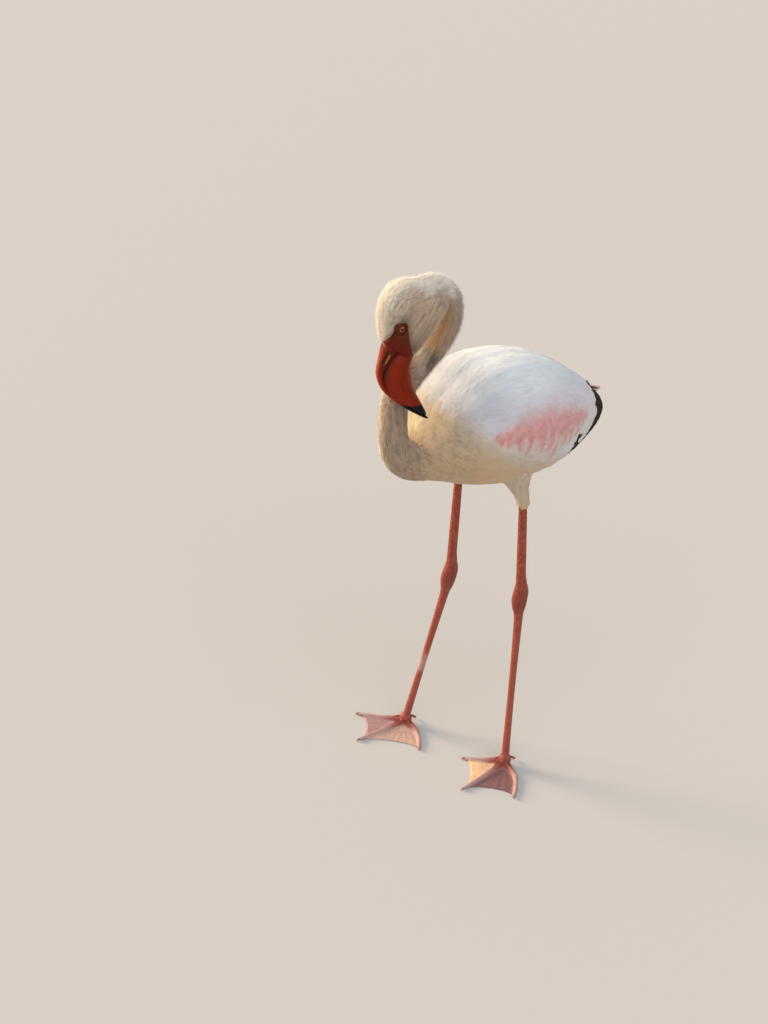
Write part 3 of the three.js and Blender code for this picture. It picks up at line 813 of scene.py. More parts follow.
# Keratin vanes and down: matt and soft, with light scattered a little way inside. White on the
# back, cream below, grey-buff on head and neck, and rose on the wing coverts.
plumage, tree = new_material("soft_feather_keratin")
marks = add(tree, "ShaderNodeAttribute", attribute_name="marks")
vane = add(tree, "ShaderNodeAttribute", attribute_name="vane")
xyz = add(tree, "ShaderNodeSeparateXYZ", {0: vane.outputs["Vector"]})
place = add(tree, "ShaderNodeTexCoord").outputs["Object"]
fine = add(tree, "ShaderNodeTexNoise", {"Vector": place, "Scale": 1 / (2.4 * MM), "Detail": 3.0})
broad = add(tree, "ShaderNodeTexNoise", {"Vector": place, "Scale": 1 / (26 * MM), "Detail": 2.0})
own = add(tree, "ShaderNodeMath", {0: xyz.outputs[2], 1: 0.35}, operation="ADD")
half = add(tree, "ShaderNodeMath", {0: xyz.outputs[0]}, operation="ABSOLUTE")
rim = add(tree, "ShaderNodeMath", {0: half, 1: 4.0}, operation="POWER")
colour = marks.outputs["Color"]
for amount, strength, tone in ((own, marks.outputs["Alpha"], "#7d6a58"), (broad, 0.12, "#c9bfb8"),
                               (rim, 0.1, "#ffffff")):
    factor = add(tree, "ShaderNodeMath", {0: amount, 1: strength}, operation="MULTIPLY")
    colour = add(tree, "ShaderNodeMix", {0: factor, 6: colour, 7: hexed(tone)}, data_type="RGBA")
barbs = barbs_of(tree, vane, 3.0, 9.0)
barbs = add(tree, "ShaderNodeMath", {0: barbs, 1: 0.3}, operation="MULTIPLY")
relief = add(tree, "ShaderNodeMath", {0: barbs, 1: fine}, operation="ADD")
bump = add(tree, "ShaderNodeBump", {"Height": relief, "Strength": 0.3, "Distance": 0.3 * MM})
shader = add(tree, "ShaderNodeBsdfPrincipled", {
    "Base Color": colour, "Roughness": 0.75, "Normal": bump, "Sheen Weight": 0.2,
    "Sheen Roughness": 0.5, "Specular IOR Level": 0.25, "Subsurface Weight": 0.35,
    "Subsurface Radius": (1.0, 0.85, 0.75), "Subsurface Scale": 4 * MM,
})
add(tree, "ShaderNodeOutputMaterial", {"Surface": shader})

# ---------------------------------------------------------------- feathers
# A feather is one closed body: a thin lens across its vane, or a three-sided wedge for a tuft of
# down. Thousands are laid over the skin at once and joined in one mesh.
LENS = np.array([(-1, 0), (0, 1), (1, 0), (0, -0.6)])
WEDGE = np.array([(-1, 0), (0, 1), (1, 0)])
PATCH = 0.003                           # width of one feather's patch on the bake map
CONTOUR = ([0, 0.25, 0.5, 0.74, 0.91, 1], [0.4, 0.85, 1, 0.9, 0.55, 0])
LANCE = ([0, 0.2, 0.42, 0.66, 0.86, 1], [0.5, 0.95, 1, 0.72, 0.34, 0])
TUFT = ([0, 0.35, 0.7, 1], [0.3, 1, 0.7, 0])


def walked(roots, index, shares, length, stations, lift, yaw, uneven, seed, stray=0.0):
    """Centre lines over the skin, with the skin's normal at each station."""
    random = np.random.default_rng(seed)
    count = len(roots)
    angle = np.radians(yaw) * random.standard_normal(count).clip(-2.2, 2.2)
    height = 1 + uneven * random.standard_normal(count).clip(-1.5, 2)
    deep = blended(depth, index, shares) * MM * height
    centres, normals = [], []
    place, face, part = roots, index, shares
    for k, station in enumerate(stations):
        if k > 0:
            step = length * (station - stations[k - 1])
            place, face, part = landed(place + way * step[:, None])
        normal = unit(blended(ground_n, face, part))
        way = blended(lie, face, part)
        way = unit(way - normal * (way * normal).sum(1)[:, None])
        way = way * np.cos(angle)[:, None] + np.cross(normal, way) * np.sin(angle)[:, None]
        tall = lift[0] + (lift[1] - lift[0]) * station**0.8 + stray * station**2
        centres.append(place + normal * (deep * tall)[:, None])
        normals.append(normal)
    return np.stack(centres, 1), np.stack(normals, 1)


def built(name, centres, normals, width, form, section, thick, roots, patch_at, patch, seed, camber=0.0,
          material=plumage):
    """Closed feathers about centre lines, joined in one mesh with their map and markings."""
    random = np.random.default_rng(seed + 500)
    stations, shape = form
    count, last, around = len(centres), len(stations) - 2, len(section)
    rings = []
    for k in range(last + 1):
        ahead = unit(centres[:, k + 1] - centres[:, max(k - 1, 0)])
        side = unit(np.cross(normals[:, k], ahead))
        above = np.cross(ahead, side)
        half = (width / 2 * shape[k])[:, None]
        tall = thick * MM * (1 - 0.5 * stations[k])
        rings.append(np.stack([centres[:, k] + side * half * x + above * (z * tall - camber * x * x * half)
                               for x, z in section], 1))
    co = np.concatenate([*rings, centres[:, -1:]], 1)
    per = co.shape[1]
    quads = [(r * around + a, (r + 1) * around + a, (r + 1) * around + (a + 1) % around,
              r * around + (a + 1) % around) for r in range(last) for a in range(around)]
    tips = [(last * around + a, per - 1, last * around + (a + 1) % around) for a in range(around)]
    faces = [*quads, *tips, tuple(range(around))]
    loops = np.concatenate([np.array(f) for f in faces])
    sizes = np.array([len(f) for f in faces])
    mesh = bpy.data.meshes.new(name)
    mesh.vertices.add(count * per)
    mesh.vertices.foreach_set("co", co.ravel())
    corner = (loops[None, :] + np.arange(count)[:, None] * per).ravel()
    mesh.loops.add(len(corner))
    mesh.loops.foreach_set("vertex_index", corner)
    starts = np.concatenate([[0], np.cumsum(np.tile(sizes, count))[:-1]])
    mesh.polygons.add(len(starts))
    mesh.polygons.foreach_set("loop_start", starts)
    smooth(mesh).update(calc_edges=True)
    across = np.array([x for k in range(last + 1) for x, z in section] + [0.0])
    along = np.repeat(stations, [around] * (last + 1) + [1])
    rim = (np.abs(across) == 1) | (along == 1)
    ends = edges(mesh) % per
    store(mesh, "sharp_edge", "BOOLEAN", "EDGE", rim[ends[:, 0]] & rim[ends[:, 1]])
    vane = np.empty((count, per, 3))
    vane[:, :, 0], vane[:, :, 1], vane[:, :, 2] = across, along, random.random(count)[:, None]
    store(mesh, "vane", "FLOAT_VECTOR", "POINT", vane)
    share = np.tile(along, count)[:, None]
    marks = (np.repeat(markings(roots), per, 0) * (1 - share)
             + np.repeat(markings(centres[:, -1]), per, 0) * share)
    marks[:, :3] = blushed(marks[:, :3], co.reshape(-1, 3))
    store(mesh, "marks", "FLOAT_COLOR", "POINT", marks)
    places = patch_at[:, None, :] + patch * np.stack([across, 2 * along - 1], -1)[None] / 2
    uv = mesh.uv_layers.new(name="OFBake")
    uv.data.foreach_set("uv", places.reshape(-1, 2)[corner].ravel().clip(0, 1))
    made = show(name, mesh)
    made.data.materials.append(material)
    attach(made, "root")
    return made


def coated(name, wanted, spacing, length, slim, form, section=LENS, thick=0.08, lift=(0.86, 0.95),
           yaw=3, uneven=0.006, vary=0.12, seed=1, stray=0.0, material=plumage,
           clear_of=None):
    """A coat piece over the wanted triangles. spacing and length are in millimetres at each
    corner of the ground, and slim is the feather's width as a share of its length."""
    random = np.random.default_rng(seed + 100)
    roots, index, shares = sow(wanted, spacing, seed)
    reach = blended(length, index, shares) * MM
    reach = reach * (1 + vary * random.standard_normal(len(roots)).clip(-2, 2))
    width = reach * slim * (1 + vary * random.standard_normal(len(roots)).clip(-2, 2))
    centres, normals = walked(roots, index, shares, reach, form[0], lift, yaw, uneven, seed, stray)
    patch_at = (mapped(wanted)[index] * shares[..., None]).sum(1)
    if clear_of:
        kept = ~clear_of(centres[:, -1])
        centres, normals, width, roots, patch_at = (
            values[kept] for values in (centres, normals, width, roots, patch_at))
    made = built(name, centres, normals, width, form, section, thick, roots, patch_at, PATCH, seed,
                 material=material)
    return made


def touching(*kinds):
    """The ground's triangles with a corner of one of these kinds."""
    return np.isin(ground_group[tris], kinds).any(1)


# Places in the bird's frame of the ground's corners, and of the middles of its triangles.
g_forward, g_left, g_up = in_bird(ground).T
t_forward, t_left, t_up = (v[tris].mean(1) for v in (g_forward, g_left, g_up))
t_over = t_up - between(t_forward, *SPINE)                # height over the body's middle
HALVES = (("left", t_left > 0), ("right", t_left <= 0))


def all_over(value):
    """The same value at every corner of the ground."""
    return np.full(len(ground), value)


def in_black(co):
    """Where the folded wing shows the black tips of its flight feathers and not the coverts."""
    forward, left, up = in_bird(co).T
    ragged = 2.5 * (patches(co, 7, 19) - 0.5)
    rear_edge = between(up, (400, -111), (420, -114), (440, -117), (452, -123))
    rear = (forward + ragged < rear_edge) & (up < 452)
    notch = (np.abs(forward + 88) < 16 + ragged) & (up < 427 + 2 * ragged)
    under_edge = between(forward, (-118, 405), (-96, 399), (-70, 396), (-50, 391))
    under = (up < under_edge) & (forward < -50)
    return rear | ((notch | under) & (np.abs(left) > 16))


# ---------------------------------------------------------------- coat of the body
# Contour feathers of breast, belly, wings and back, each rooted in the skin and overlapping the
# next like tiles. They are short on the breast, and long and narrow on the back.
breast = touching(TRUNK, WING) & (t_forward > 62)
spacing = between(g_forward, (60, 1.9), (115, 1.5))
length = between(g_forward, (60, 16), (115, 9))
coated("coat_breast", breast, spacing, length, 0.3, CONTOUR, seed=21, yaw=4)

belly = touching(TRUNK) & (t_forward <= 62) & (t_over < -12) & ~touching(WING, REAR)
coated("coat_belly", belly, all_over(2.1), all_over(18.0), 0.3, CONTOUR, seed=23, yaw=4)

flank = touching(WING, TRUNK, REAR) & (t_forward <= 62) & ~belly & (t_over < 34)
spacing = between(g_forward, (-150, 2.1), (-40, 2.1), (60, 1.9))
length = between(g_forward, (-150, 24), (-40, 25), (60, 16))
for side, half in HALVES:
    coated(f"coat_wing_{side}", flank & half, spacing, length, 0.3, CONTOUR, seed=25,
           clear_of=in_black, lift=(0.84, 0.98), uneven=0.014)

back = touching(WING, TRUNK, REAR) & (t_forward <= 62) & ~belly & (t_over >= 34)
length = between(g_forward, (-150, 28), (-60, 38), (20, 28), (60, 17))
coated("coat_back", back, all_over(2.0), length, 0.22, LANCE, seed=29, yaw=2.5,
       clear_of=in_black, lift=(0.84, 0.99), uneven=0.016)

# ---------------------------------------------------------------- coat of the thighs
# Short soft feathers, rooted in the skin of the thigh, that cover it like a trouser leg and end
# where the bare shank starts.
coated("coat_thighs", touching(THIGH), all_over(1.5), all_over(10.0), 0.3, CONTOUR, seed=31,
       yaw=5, lift=(0.7, 0.95))

# ---------------------------------------------------------------- down of neck and head
# Fine down, tuft by tuft, which lies back from the bill and along the neck. It is the shortest
# and closest on the face.
spacing = between(ground_share, (0, 1.5), (0.25, 1.2), (0.5, 0.98), (1, 0.85))
length = between(ground_share, (0, 10.0), (0.3, 8.0), (0.6, 6.5), (1, 5.5))
low_neck = touching(NAPE) & (ground_share[tris].mean(1) < 0.45)
coated("down_neck_low", low_neck, spacing, length, 0.2, TUFT, WEDGE, seed=33, yaw=6,
       thick=0.16, stray=0.05, lift=(0.72, 0.96), uneven=0.04)
high_neck = touching(NAPE) & ~low_neck
coated("down_neck_high", high_neck, spacing, length, 0.18, TUFT, WEDGE, seed=35, yaw=6,
       thick=0.16, stray=0.1, lift=(0.7, 0.96), uneven=0.05)

feathered = touching(HEAD) & (ground_face[tris].mean(1) < 0.5)
g_fore, g_high = in_head(ground).T[[0, 2]]
spacing = between(g_fore, (-30, 0.74), (10, 0.66), (30, 0.52))
length = between(g_fore, (-40, 6.5), (-10, 5), (15, 3.4), (30, 2.2))
coated("down_head", feathered, spacing, length, 0.17, TUFT, WEDGE, seed=37, yaw=7,
       thick=0.14, stray=0.12, lift=(0.6, 0.96), uneven=0.05)

# Fine loose ends that stand a little out of the down over crown and arch.
loose = (feathered & (g_high[tris].mean(1) > 2)) | high_neck
coated("down_fringe", loose, all_over(1.25), all_over(6.5), 0.08, TUFT, WEDGE, seed=39, yaw=12,
       thick=0.14, stray=0.6, lift=(0.6, 1.45), uneven=0.12)

# ---------------------------------------------------------------- flight feathers
# The folded wing's black tips are long firm vanes, rooted under the coverts, that show behind
# and below them.
#
# Keratin full of dark pigment: brownish black, firm, and almost without gloss.
black_vane, tree = new_material("black_vane_keratin")
vane = add(tree, "ShaderNodeAttribute", attribute_name="vane")
own = add(tree, "ShaderNodeSeparateXYZ", {0: vane.outputs["Vector"]}).outputs[2]
colour = add(tree, "ShaderNodeMix", {0: own, 6: hexed("#080705"), 7: hexed("#17150d")},
             data_type="RGBA")
bump = add(tree, "ShaderNodeBump", {
    "Height": barbs_of(tree, vane, 8.0, 40.0), "Strength": 0.25, "Distance": 0.2 * MM,
})
shader = add(tree, "ShaderNodeBsdfPrincipled", {
    "Base Color": colour, "Roughness": 0.6, "Normal": bump, "Specular IOR Level": 0.08,
})
add(tree, "ShaderNodeOutputMaterial", {"Surface": shader})

rooted_below = between(t_forward, (-104, 480), (-84, 450), (-60, 425), (-46, 400))
tips = touching(WING, REAR) & (t_up < 462) & (t_forward < -46) & (np.abs(t_left) > 5)
tips &= t_up < rooted_below
for side, half in HALVES:
    made = coated(f"flight_feathers_{side}", tips & half, all_over(3.6), all_over(44.0), 0.16, LANCE,
                  thick=0.3, lift=(0.4, 0.86), yaw=2, seed=41,
                  material=black_vane)
    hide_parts(f"primaries_{side}")

# ---------------------------------------------------------------- tail
# Twelve short vanes in a flat fan, the middle pair on top. They are rooted in the stump of the
# tail, under the coverts of the rump.
#
# Firm pale keratin: pinkish cream, pinker towards the tips, with painted shadow, dark brown, on the fan's
# outer vanes.
tail_vane, tree = new_material("tail_vane_keratin")
vane = add(tree, "ShaderNodeAttribute", attribute_name="vane")
along = add(tree, "ShaderNodeSeparateXYZ", {0: vane.outputs["Vector"]}).outputs[1]
tipwards = add(tree, "ShaderNodeMath", {0: along, 1: 2.5}, operation="POWER")
place = add(tree, "ShaderNodeTexCoord").outputs["Object"]
place = add(tree, "ShaderNodeSeparateXYZ", {0: place})
# painted shadow: the vanes away from the fan's middle are dark brown
off_middle = add(tree, "ShaderNodeMath", {0: place.outputs[0], 1: HOME.x}, operation="SUBTRACT")
off_middle = add(tree, "ShaderNodeMath", {0: off_middle}, operation="ABSOLUTE")
outer = add(tree, "ShaderNodeMapRange", {0: off_middle, 1: 2.2 * MM, 2: 4.2 * MM})
colour = hexed("#ecd3c4")
for factor, tone in ((tipwards, "#dca590"), (outer, "#54281e")):
    colour = add(tree, "ShaderNodeMix", {0: factor, 6: colour, 7: hexed(tone)}, data_type="RGBA")
bump = add(tree, "ShaderNodeBump", {
    "Height": barbs_of(tree, vane, 6.0, 30.0), "Strength": 0.25, "Distance": 0.2 * MM,
})
shader = add(tree, "ShaderNodeBsdfPrincipled", {
    "Base Color": colour, "Roughness": 0.6, "Normal": bump, "Specular IOR Level": 0.3,
})
add(tree, "ShaderNodeOutputMaterial", {"Surface": shader})

TAIL_VANES = 12
BLUNT = ([0, 0.25, 0.5, 0.8, 0.95, 1], [0.4, 0.8, 1, 1, 0.75, 0])
places = np.arange(TAIL_VANES) - (TAIL_VANES - 1) / 2     # of each vane, counted from the middle
order = np.abs(places)
stations = np.array(BLUNT[0])
root = np.stack([np.full(TAIL_VANES, -86.0), 1.7 * places, 457 - 0.5 * order], -1)
tip = np.stack([-163 + 0.6 * order**2, 0.7 * places, 432 - 0.6 * order], -1)
lines = root[:, None] + (tip - root)[:, None] * stations[None, :, None]
lines[:, :, 2] += 2.5 * np.sin(math.pi * stations)[None]
centres = np.stack([lines[..., 1], -lines[..., 0], lines[..., 2]], -1) * MM + np.array(HOME)
flat = 0 * lines[..., 0]
normals = unit(np.stack([0.02 * places[:, None] + flat, 0.28 + flat, 0.96 + flat], -1))
patch_at = np.stack([np.linspace(0.06, 0.94, TAIL_VANES), np.full(TAIL_VANES, 0.5)], -1)
made = built("tail_feathers", centres, normals, np.full(TAIL_VANES, 6.5) * MM, BLUNT, LENS, 0.45,
             root * MM, patch_at, 0.06, 43, camber=0.12, material=tail_vane)
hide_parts("tail")

# ---------------------------------------------------------------- bill
# Two hollow keratin sheaths on the jaws, bent down at the middle. The lower is deep and takes the
# narrow upper one as a lid, and the gape runs high along the side with fine lamellae in it.
# Each station: its middle forward and up in the head, half its height and half its width, in mm.
BILL_UPPER = [((24, -0.8), 10, 12), ((34, -1.2), 8.4, 11), ((46, -2), 5.6, 8.8),
              ((61.6, -5.8), 3.2, 6.6), ((71.3, -15.6), 2.5, 5.5), ((76.9, -31.8), 2.2, 5),
              ((79.4, -50), 2, 4.2), ((80.5, -70), 1.5, 2.6), ((80.5, -76), 1.2, 1.6)]
BILL_LOWER = [((24, -18.5), 8.5, 10), ((45, -18.2), 14, 10.5), ((56.2, -23), 15.5, 10.5),
              ((64.6, -32), 14.5, 9.5), ((70.3, -45.5), 10, 8), ((74.7, -59.9), 5.5, 6),
              ((79, -72), 2.2, 3)]


def smooth_through(places, values, found):
    """A smooth curve through values at places."""
    slopes = np.gradient(values, places, axis=0)
    index = np.clip(np.searchsorted(places, found, side="right") - 1, 0, len(places) - 2)
    width = places[index + 1] - places[index]
    t = ((found - places[index]) / width)[:, None]
    width = width[:, None]
    return ((1 + 2 * t) * (1 - t) ** 2 * values[index] + t * (1 - t) ** 2 * width * slopes[index]
            + t * t * (3 - 2 * t) * values[index + 1] + t * t * (t - 1) * width * slopes[index + 1])


def jaw(stations, shrink=0.0):
    """Places in the head's frame of a sheath swept over its stations, with its own coordinates."""
    ball = bmesh.new()
    bmesh.ops.create_uvsphere(ball, u_segments=96, v_segments=200, radius=1)
    line = np.array([s[0] for s in stations], float)
    size = np.array([s[1:] for s in stations], float)
    reach = np.concatenate([[0], np.cumsum(np.linalg.norm(np.diff(line, axis=0), axis=1))])
    co = np.array([v.co for v in ball.verts])
    share = (1 - co[:, 2]) / 2
    run = share * reach[-1]
    centre = smooth_through(reach, line, run)
    ahead = unit(smooth_through(reach, line, np.minimum(run + 0.5, reach[-1]))
                 - smooth_through(reach, line, np.maximum(run - 0.5, 0)))
    high, wide = smooth_through(reach, size, run).T
    full = (np.sqrt(1 - (1 - np.minimum(run / 9, 1)) ** 2)
            * np.sqrt(1 - (1 - np.minimum((reach[-1] - run) / 4, 1)) ** 2))
    around = np.arctan2(co[:, 1], co[:, 0])
    up = np.stack([-ahead[:, 1], ahead[:, 0]], -1)
    side = (wide - shrink) * full * np.cos(around)
    place = centre + up * ((high - shrink) * full * np.sin(around))[:, None]
    found = np.stack([place[:, 0], side, place[:, 1]], -1)
    return ball, found, share, np.sin(around)


def put_in_head(ball, name, found):
    """A mesh from a ball whose vertices are moved to places in the head's frame, in mm."""
    for vert, spot in zip(ball.verts, found):
        vert.co = head_frame @ Vector(spot * MM)
    if ball.calc_volume(signed=True) < 0:
        bmesh.ops.reverse_faces(ball, faces=ball.faces)
    mesh = bpy.data.meshes.new(name)
    ball.to_mesh(mesh)
    ball.free()
    return smooth(mesh)


def ripple(found, size, seed):
    """Smooth random values about 0 over places in millimetres."""
    random = np.random.default_rng(seed)
    total = np.zeros(len(found))
    for k in range(7):
        way = unit(random.standard_normal(3))
        turn = 2 * math.pi / size * random.uniform(0.6, 1.6)
        total += np.sin(found @ way * turn + random.uniform(0, 6))
    return total / 7


# Keratin of the bill: satin, deep crimson, with a painted highlight along the ridge and on the nostril's
# lip, darker on the cheek, black at the tip, darker on the lower half's chin side and in its side groove
# as painted shade, and brown in nostril and gape, partly deepened by painted shade.
bill_horn, tree = new_material("bill_keratin")
tints = add(tree, "ShaderNodeAttribute", attribute_name="tints")
rgb = add(tree, "ShaderNodeSeparateColor", {0: tints.outputs["Color"]})
place = add(tree, "ShaderNodeTexCoord").outputs["Object"]
broad = add(tree, "ShaderNodeTexNoise", {"Vector": place, "Scale": 1 / (11 * MM), "Detail": 4.0})
fine = add(tree, "ShaderNodeTexNoise", {"Vector": place, "Scale": 1 / (1.1 * MM), "Detail": 3.0})
relief = add(tree, "ShaderNodeMath", {0: fine, 1: broad}, operation="ADD")
colour = hexed("#711703")
for factor, tone in ((broad, "#852305"), (rgb.outputs["Green"], "#e0802c"),
                     (rgb.outputs["Blue"], "#4d1507"), (rgb.outputs["Red"], "#0f0c0c"),
                     (tints.outputs["Alpha"], "#3f2a23")):
    colour = add(tree, "ShaderNodeMix", {0: factor, 6: colour, 7: hexed(tone)}, data_type="RGBA")
bump = add(tree, "ShaderNodeBump", {"Height": relief, "Strength": 0.25, "Distance": 0.3 * MM})
shader = add(tree, "ShaderNodeBsdfPrincipled", {
    "Base Color": colour, "Roughness": 0.42, "Normal": bump, "Specular IOR Level": 0.12,
    "Subsurface Weight": 0.12, "Subsurface Radius": (1.0, 0.3, 0.2), "Subsurface Scale": 2 * MM,
})
add(tree, "ShaderNodeOutputMaterial", {"Surface": shader})


def black_tip(found):
    """How far each place lies in the black of the tip, which has a slanting uneven edge."""
    edge = -42 - (80 - found[:, 0]) * 1.7 + 3 * ripple(found, 9, 7)
    return rise(edge - found[:, 2], -1.5, 3)


# The upper half, with a slit of a nostril in each side and a raised lip below it that carries a painted
# highlight.
ball, found, share, top = jaw(BILL_UPPER)
fore, aside, high = found.T
on_side = np.abs(aside) > 4
nostril = np.exp(-((high - between(fore, (34, 1.4), (51, -0.8))) / 0.9) ** 2)
nostril *= rise(fore, 34, 37) * (1 - rise(fore, 48, 52)) * on_side
lip = np.exp(-((high - between(fore, (34, -0.8), (51, -2.8))) / 0.6) ** 2)
lip *= rise(fore, 36, 39) * (1 - rise(fore, 46, 50)) * on_side
found[:, 1] += np.sign(aside) * (0.6 * lip - 2.2 * nostril)
ridge = rise(top, 0.75, 1) * (0.3 + 0.7 * rise(share, 0.06, 0.2))
tomium = 1 - rise(top, -0.9, -0.35)
black = black_tip(found)
dark_edge = tomium * rise(share, 0.7, 0.85)
cheek = (1 - rise(share, 0.22, 0.4)) * (1 - ridge)
# painted highlight: bright orange along the ridge and on the nostril's lip
bright = np.clip(0.15 * ridge + lip, 0, 1) * (1 - black)
# brown in the nostril and along the gape: partly their own colour, partly painted shade in slit and
# crevice
brown = np.maximum(nostril, 0.75 * tomium * (1 - rise(share, 0.4, 0.6)))
upper_tints = np.stack([np.maximum(black, 0.7 * dark_edge), bright, 0.75 * cheek * (1 - lip), brown], -1)
upper_mesh = put_in_head(ball, "bill_upper_sheath", found)

# The lower half, deep and trough-like, with a fine comb along the gape and a groove in its side.
COMB = 420                              # radians over the length; real lamellae are finer
ball, found, share, top = jaw(BILL_LOWER, 0.4)
fore, aside, high = found.T
gape = rise(top, 0.56, 0.86) * (1 - rise(share, 0.3, 0.5))
comb = np.sin(share * COMB) * gape
groove = np.exp(-((fore - between(-high, (26, 57), (36, 67))) / 1.3) ** 2)
groove *= rise(-high, 25, 29) * (1 - rise(-high, 33, 37))
relief = 0.12 * comb - 0.35 * groove - 0.9 * gape + 0.25 * ripple(found, 14, 9)
found[:, 1] += np.sign(aside) * relief
black = black_tip(found)
bright = 0.25 * (1 - rise(top, -0.95, -0.5)) * (1 - black)
# painted shade: darker in the side groove and over the chin side
dark = np.clip(0.5 * groove + 0.4 * (1 - rise(top, -0.6, 0.3)), 0, 1)
# the gape's brown is partly its lamellae's colour, partly painted shade in the crevice
lower_tints = np.stack([black, bright, dark, 0.9 * gape], -1)
lower_mesh = put_in_head(ball, "bill_lower_sheath", found)

for name, mesh, tints in (("upper", upper_mesh, upper_tints), ("lower", lower_mesh, lower_tints)):
    store(mesh, "tints", "FLOAT_COLOR", "POINT", tints)
    mesh.materials.append(bill_horn)
    sheath = show(f"bill_{name}_sheath", mesh)
    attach(sheath, "root")
    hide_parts(f"bill_{name}")

# ---------------------------------------------------------------- eyes and eyelids
# Wet balls, each held in its socket by two lids of bare skin: a low cornea over an orange iris
# and a small black pupil.
#
# A wet cornea, glossy and clear over the iris. The rings are millimetres from the eye's axis.
eye_wet, tree = new_material("eye_cornea_and_iris")
ring = add(tree, "ShaderNodeAttribute", attribute_name="ring").outputs["Fac"]
place = add(tree, "ShaderNodeTexCoord").outputs["Object"]
rays = add(tree, "ShaderNodeTexNoise", {"Vector": place, "Scale": 1 / (0.6 * MM), "Detail": 3.0})
rays = add(tree, "ShaderNodeMath", {0: rays, 1: 0.3}, operation="MULTIPLY")
outwards = add(tree, "ShaderNodeMapRange", {0: ring, 1: 1.5, 2: 4.2})
rim = add(tree, "ShaderNodeMapRange", {0: ring, 1: 3.9, 2: 4.3})
pupil = add(tree, "ShaderNodeMapRange", {0: ring, 1: 1.35, 2: 1.5, 3: 1.0, 4: 0.0})
colour = hexed("#a2521a")
for factor, tone in ((outwards, "#5f220b"), (rays, "#a05c1a"), (rim, "#2a1410"),
                     (pupil, "#050405")):
    colour = add(tree, "ShaderNodeMix", {0: factor, 6: colour, 7: hexed(tone)}, data_type="RGBA")
shader = add(tree, "ShaderNodeBsdfPrincipled", {
    "Base Color": colour, "Roughness": 0.15, "Specular IOR Level": 0.3, "Coat Weight": 0.25,
    "Coat Roughness": 0.06,
})
add(tree, "ShaderNodeOutputMaterial", {"Surface": shader})

# Lids: bare wrinkled skin rolled round a narrow opening, the upper the heavier.
# LID is its section: how far each corner is from the opening's edge and how far it stands up.
LID = [(0, 0.05), (0.1, 0.55), (0.45, 0.85), (0.9, 0.75), (1.2, 0.5), (1.6, 0.75), (2.1, 0.7),
       (2.5, 0.35), (3.0, 0.5), (3.6, 0.2), (4.4, -0.5), (3.4, -1.4), (1.6, -0.9), (0.5, -0.5)]
LID_RING = 2                            # radius at which the section is turned to a ring
LID_TURNS = 72

# Bare skin of face and lids: dull, pebbly with small wrinkles, brown-red, redder near the bill.
lid_skin, tree = new_material("bare_face_skin")
place = add(tree, "ShaderNodeTexCoord").outputs["Object"]
cells = add(tree, "ShaderNodeTexVoronoi", {"Vector": place, "Scale": 1 / (0.9 * MM)})
dark_cells = add(tree, "ShaderNodeMath", {0: cells, 1: 0.35}, operation="MULTIPLY")
broad = add(tree, "ShaderNodeTexNoise", {"Vector": place, "Scale": 1 / (6 * MM), "Detail": 4.0})
towards = add(tree, "ShaderNodeAttribute", attribute_name="towards_bill").outputs["Fac"]
colour = hexed("#4c1a0a")
for factor, tone in ((broad, "#682a12"), (towards, "#681503"), (dark_cells, "#2e0e07")):
    colour = add(tree, "ShaderNodeMix", {0: factor, 6: colour, 7: hexed(tone)}, data_type="RGBA")
bump = add(tree, "ShaderNodeBump", {"Height": cells, "Strength": 0.5, "Distance": 0.4 * MM})
shader = add(tree, "ShaderNodeBsdfPrincipled", {
    "Base Color": colour, "Roughness": 0.5, "Normal": bump, "Specular IOR Level": 0.12,
})
add(tree, "ShaderNodeOutputMaterial", {"Surface": shader})

for side, half in (("left", 1), ("right", -1)):
    ball = bmesh.new()
    bmesh.ops.create_uvsphere(ball, u_segments=64, v_segments=40, radius=EYE_RADIUS)
    co = np.array([v.co for v in ball.verts])
    far = np.hypot(co[:, 0], co[:, 1])
    bulge = 0.35 * (1 - rise(far, 1.5, 4.2)) * (co[:, 2] > 0)
    found = np.stack([EYE_AT[0] + co[:, 0], half * (EYE_AT[1] + co[:, 2] + bulge),
                      EYE_AT[2] + co[:, 1]], -1)
    mesh = put_in_head(ball, f"eyeball_{side}", found)
    store(mesh, "ring", "FLOAT", "POINT", np.where(co[:, 2] > 0, far, 9))
    made = show(f"eyeball_{side}", mesh)
    made.data.materials.append(eye_wet)
    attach(made, "root")
    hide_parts(f"eye_{side}")

    # A ring of that section, drawn out to the opening's oval and laid over the ball.
    lid = bmesh.new()
    section = [lid.verts.new((LID_RING + out, 0, tall)) for out, tall in LID]
    outline = [lid.edges.new((section[k - 1], section[k])) for k in range(len(LID))]
    bmesh.ops.spin(lid, geom=[*section, *outline], cent=(0, 0, 0), axis=(0, 0, 1),
                   angle=2 * math.pi, steps=LID_TURNS, use_merge=True)
    bmesh.ops.recalc_face_normals(lid, faces=lid.faces)
    co = np.array([v.co for v in lid.verts])
    turn = np.mod(np.arctan2(co[:, 1], co[:, 0]), 2 * math.pi)
    upper = (turn > 0.01) & (turn < math.pi + 0.01)
    cos, sin = np.cos(turn), np.sin(turn)
    opening = 1 / np.hypot(cos / 3.5, sin / np.where(upper, 1.95, 1.9))
    out = np.hypot(co[:, 0], co[:, 1]) - LID_RING
    far = opening + out * (0.95 + 0.05 * np.sin(9 * turn))
    over = np.sqrt(EYE_RADIUS**2 - np.minimum(far, 4.6) ** 2) - 0.42 * np.maximum(far - 4.6, 0)
    tall = co[:, 2] * np.where(upper, 1.15, 0.9)
    found = np.stack([EYE_AT[0] + far * cos, half * (EYE_AT[1] + over + tall),
                      EYE_AT[2] + far * sin], -1)
    mesh = put_in_head(lid, f"eyelids_{side}", found)
    made = show(f"eyelids_{side}", mesh)
    made.data.materials.append(lid_skin)
    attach(made, "root")

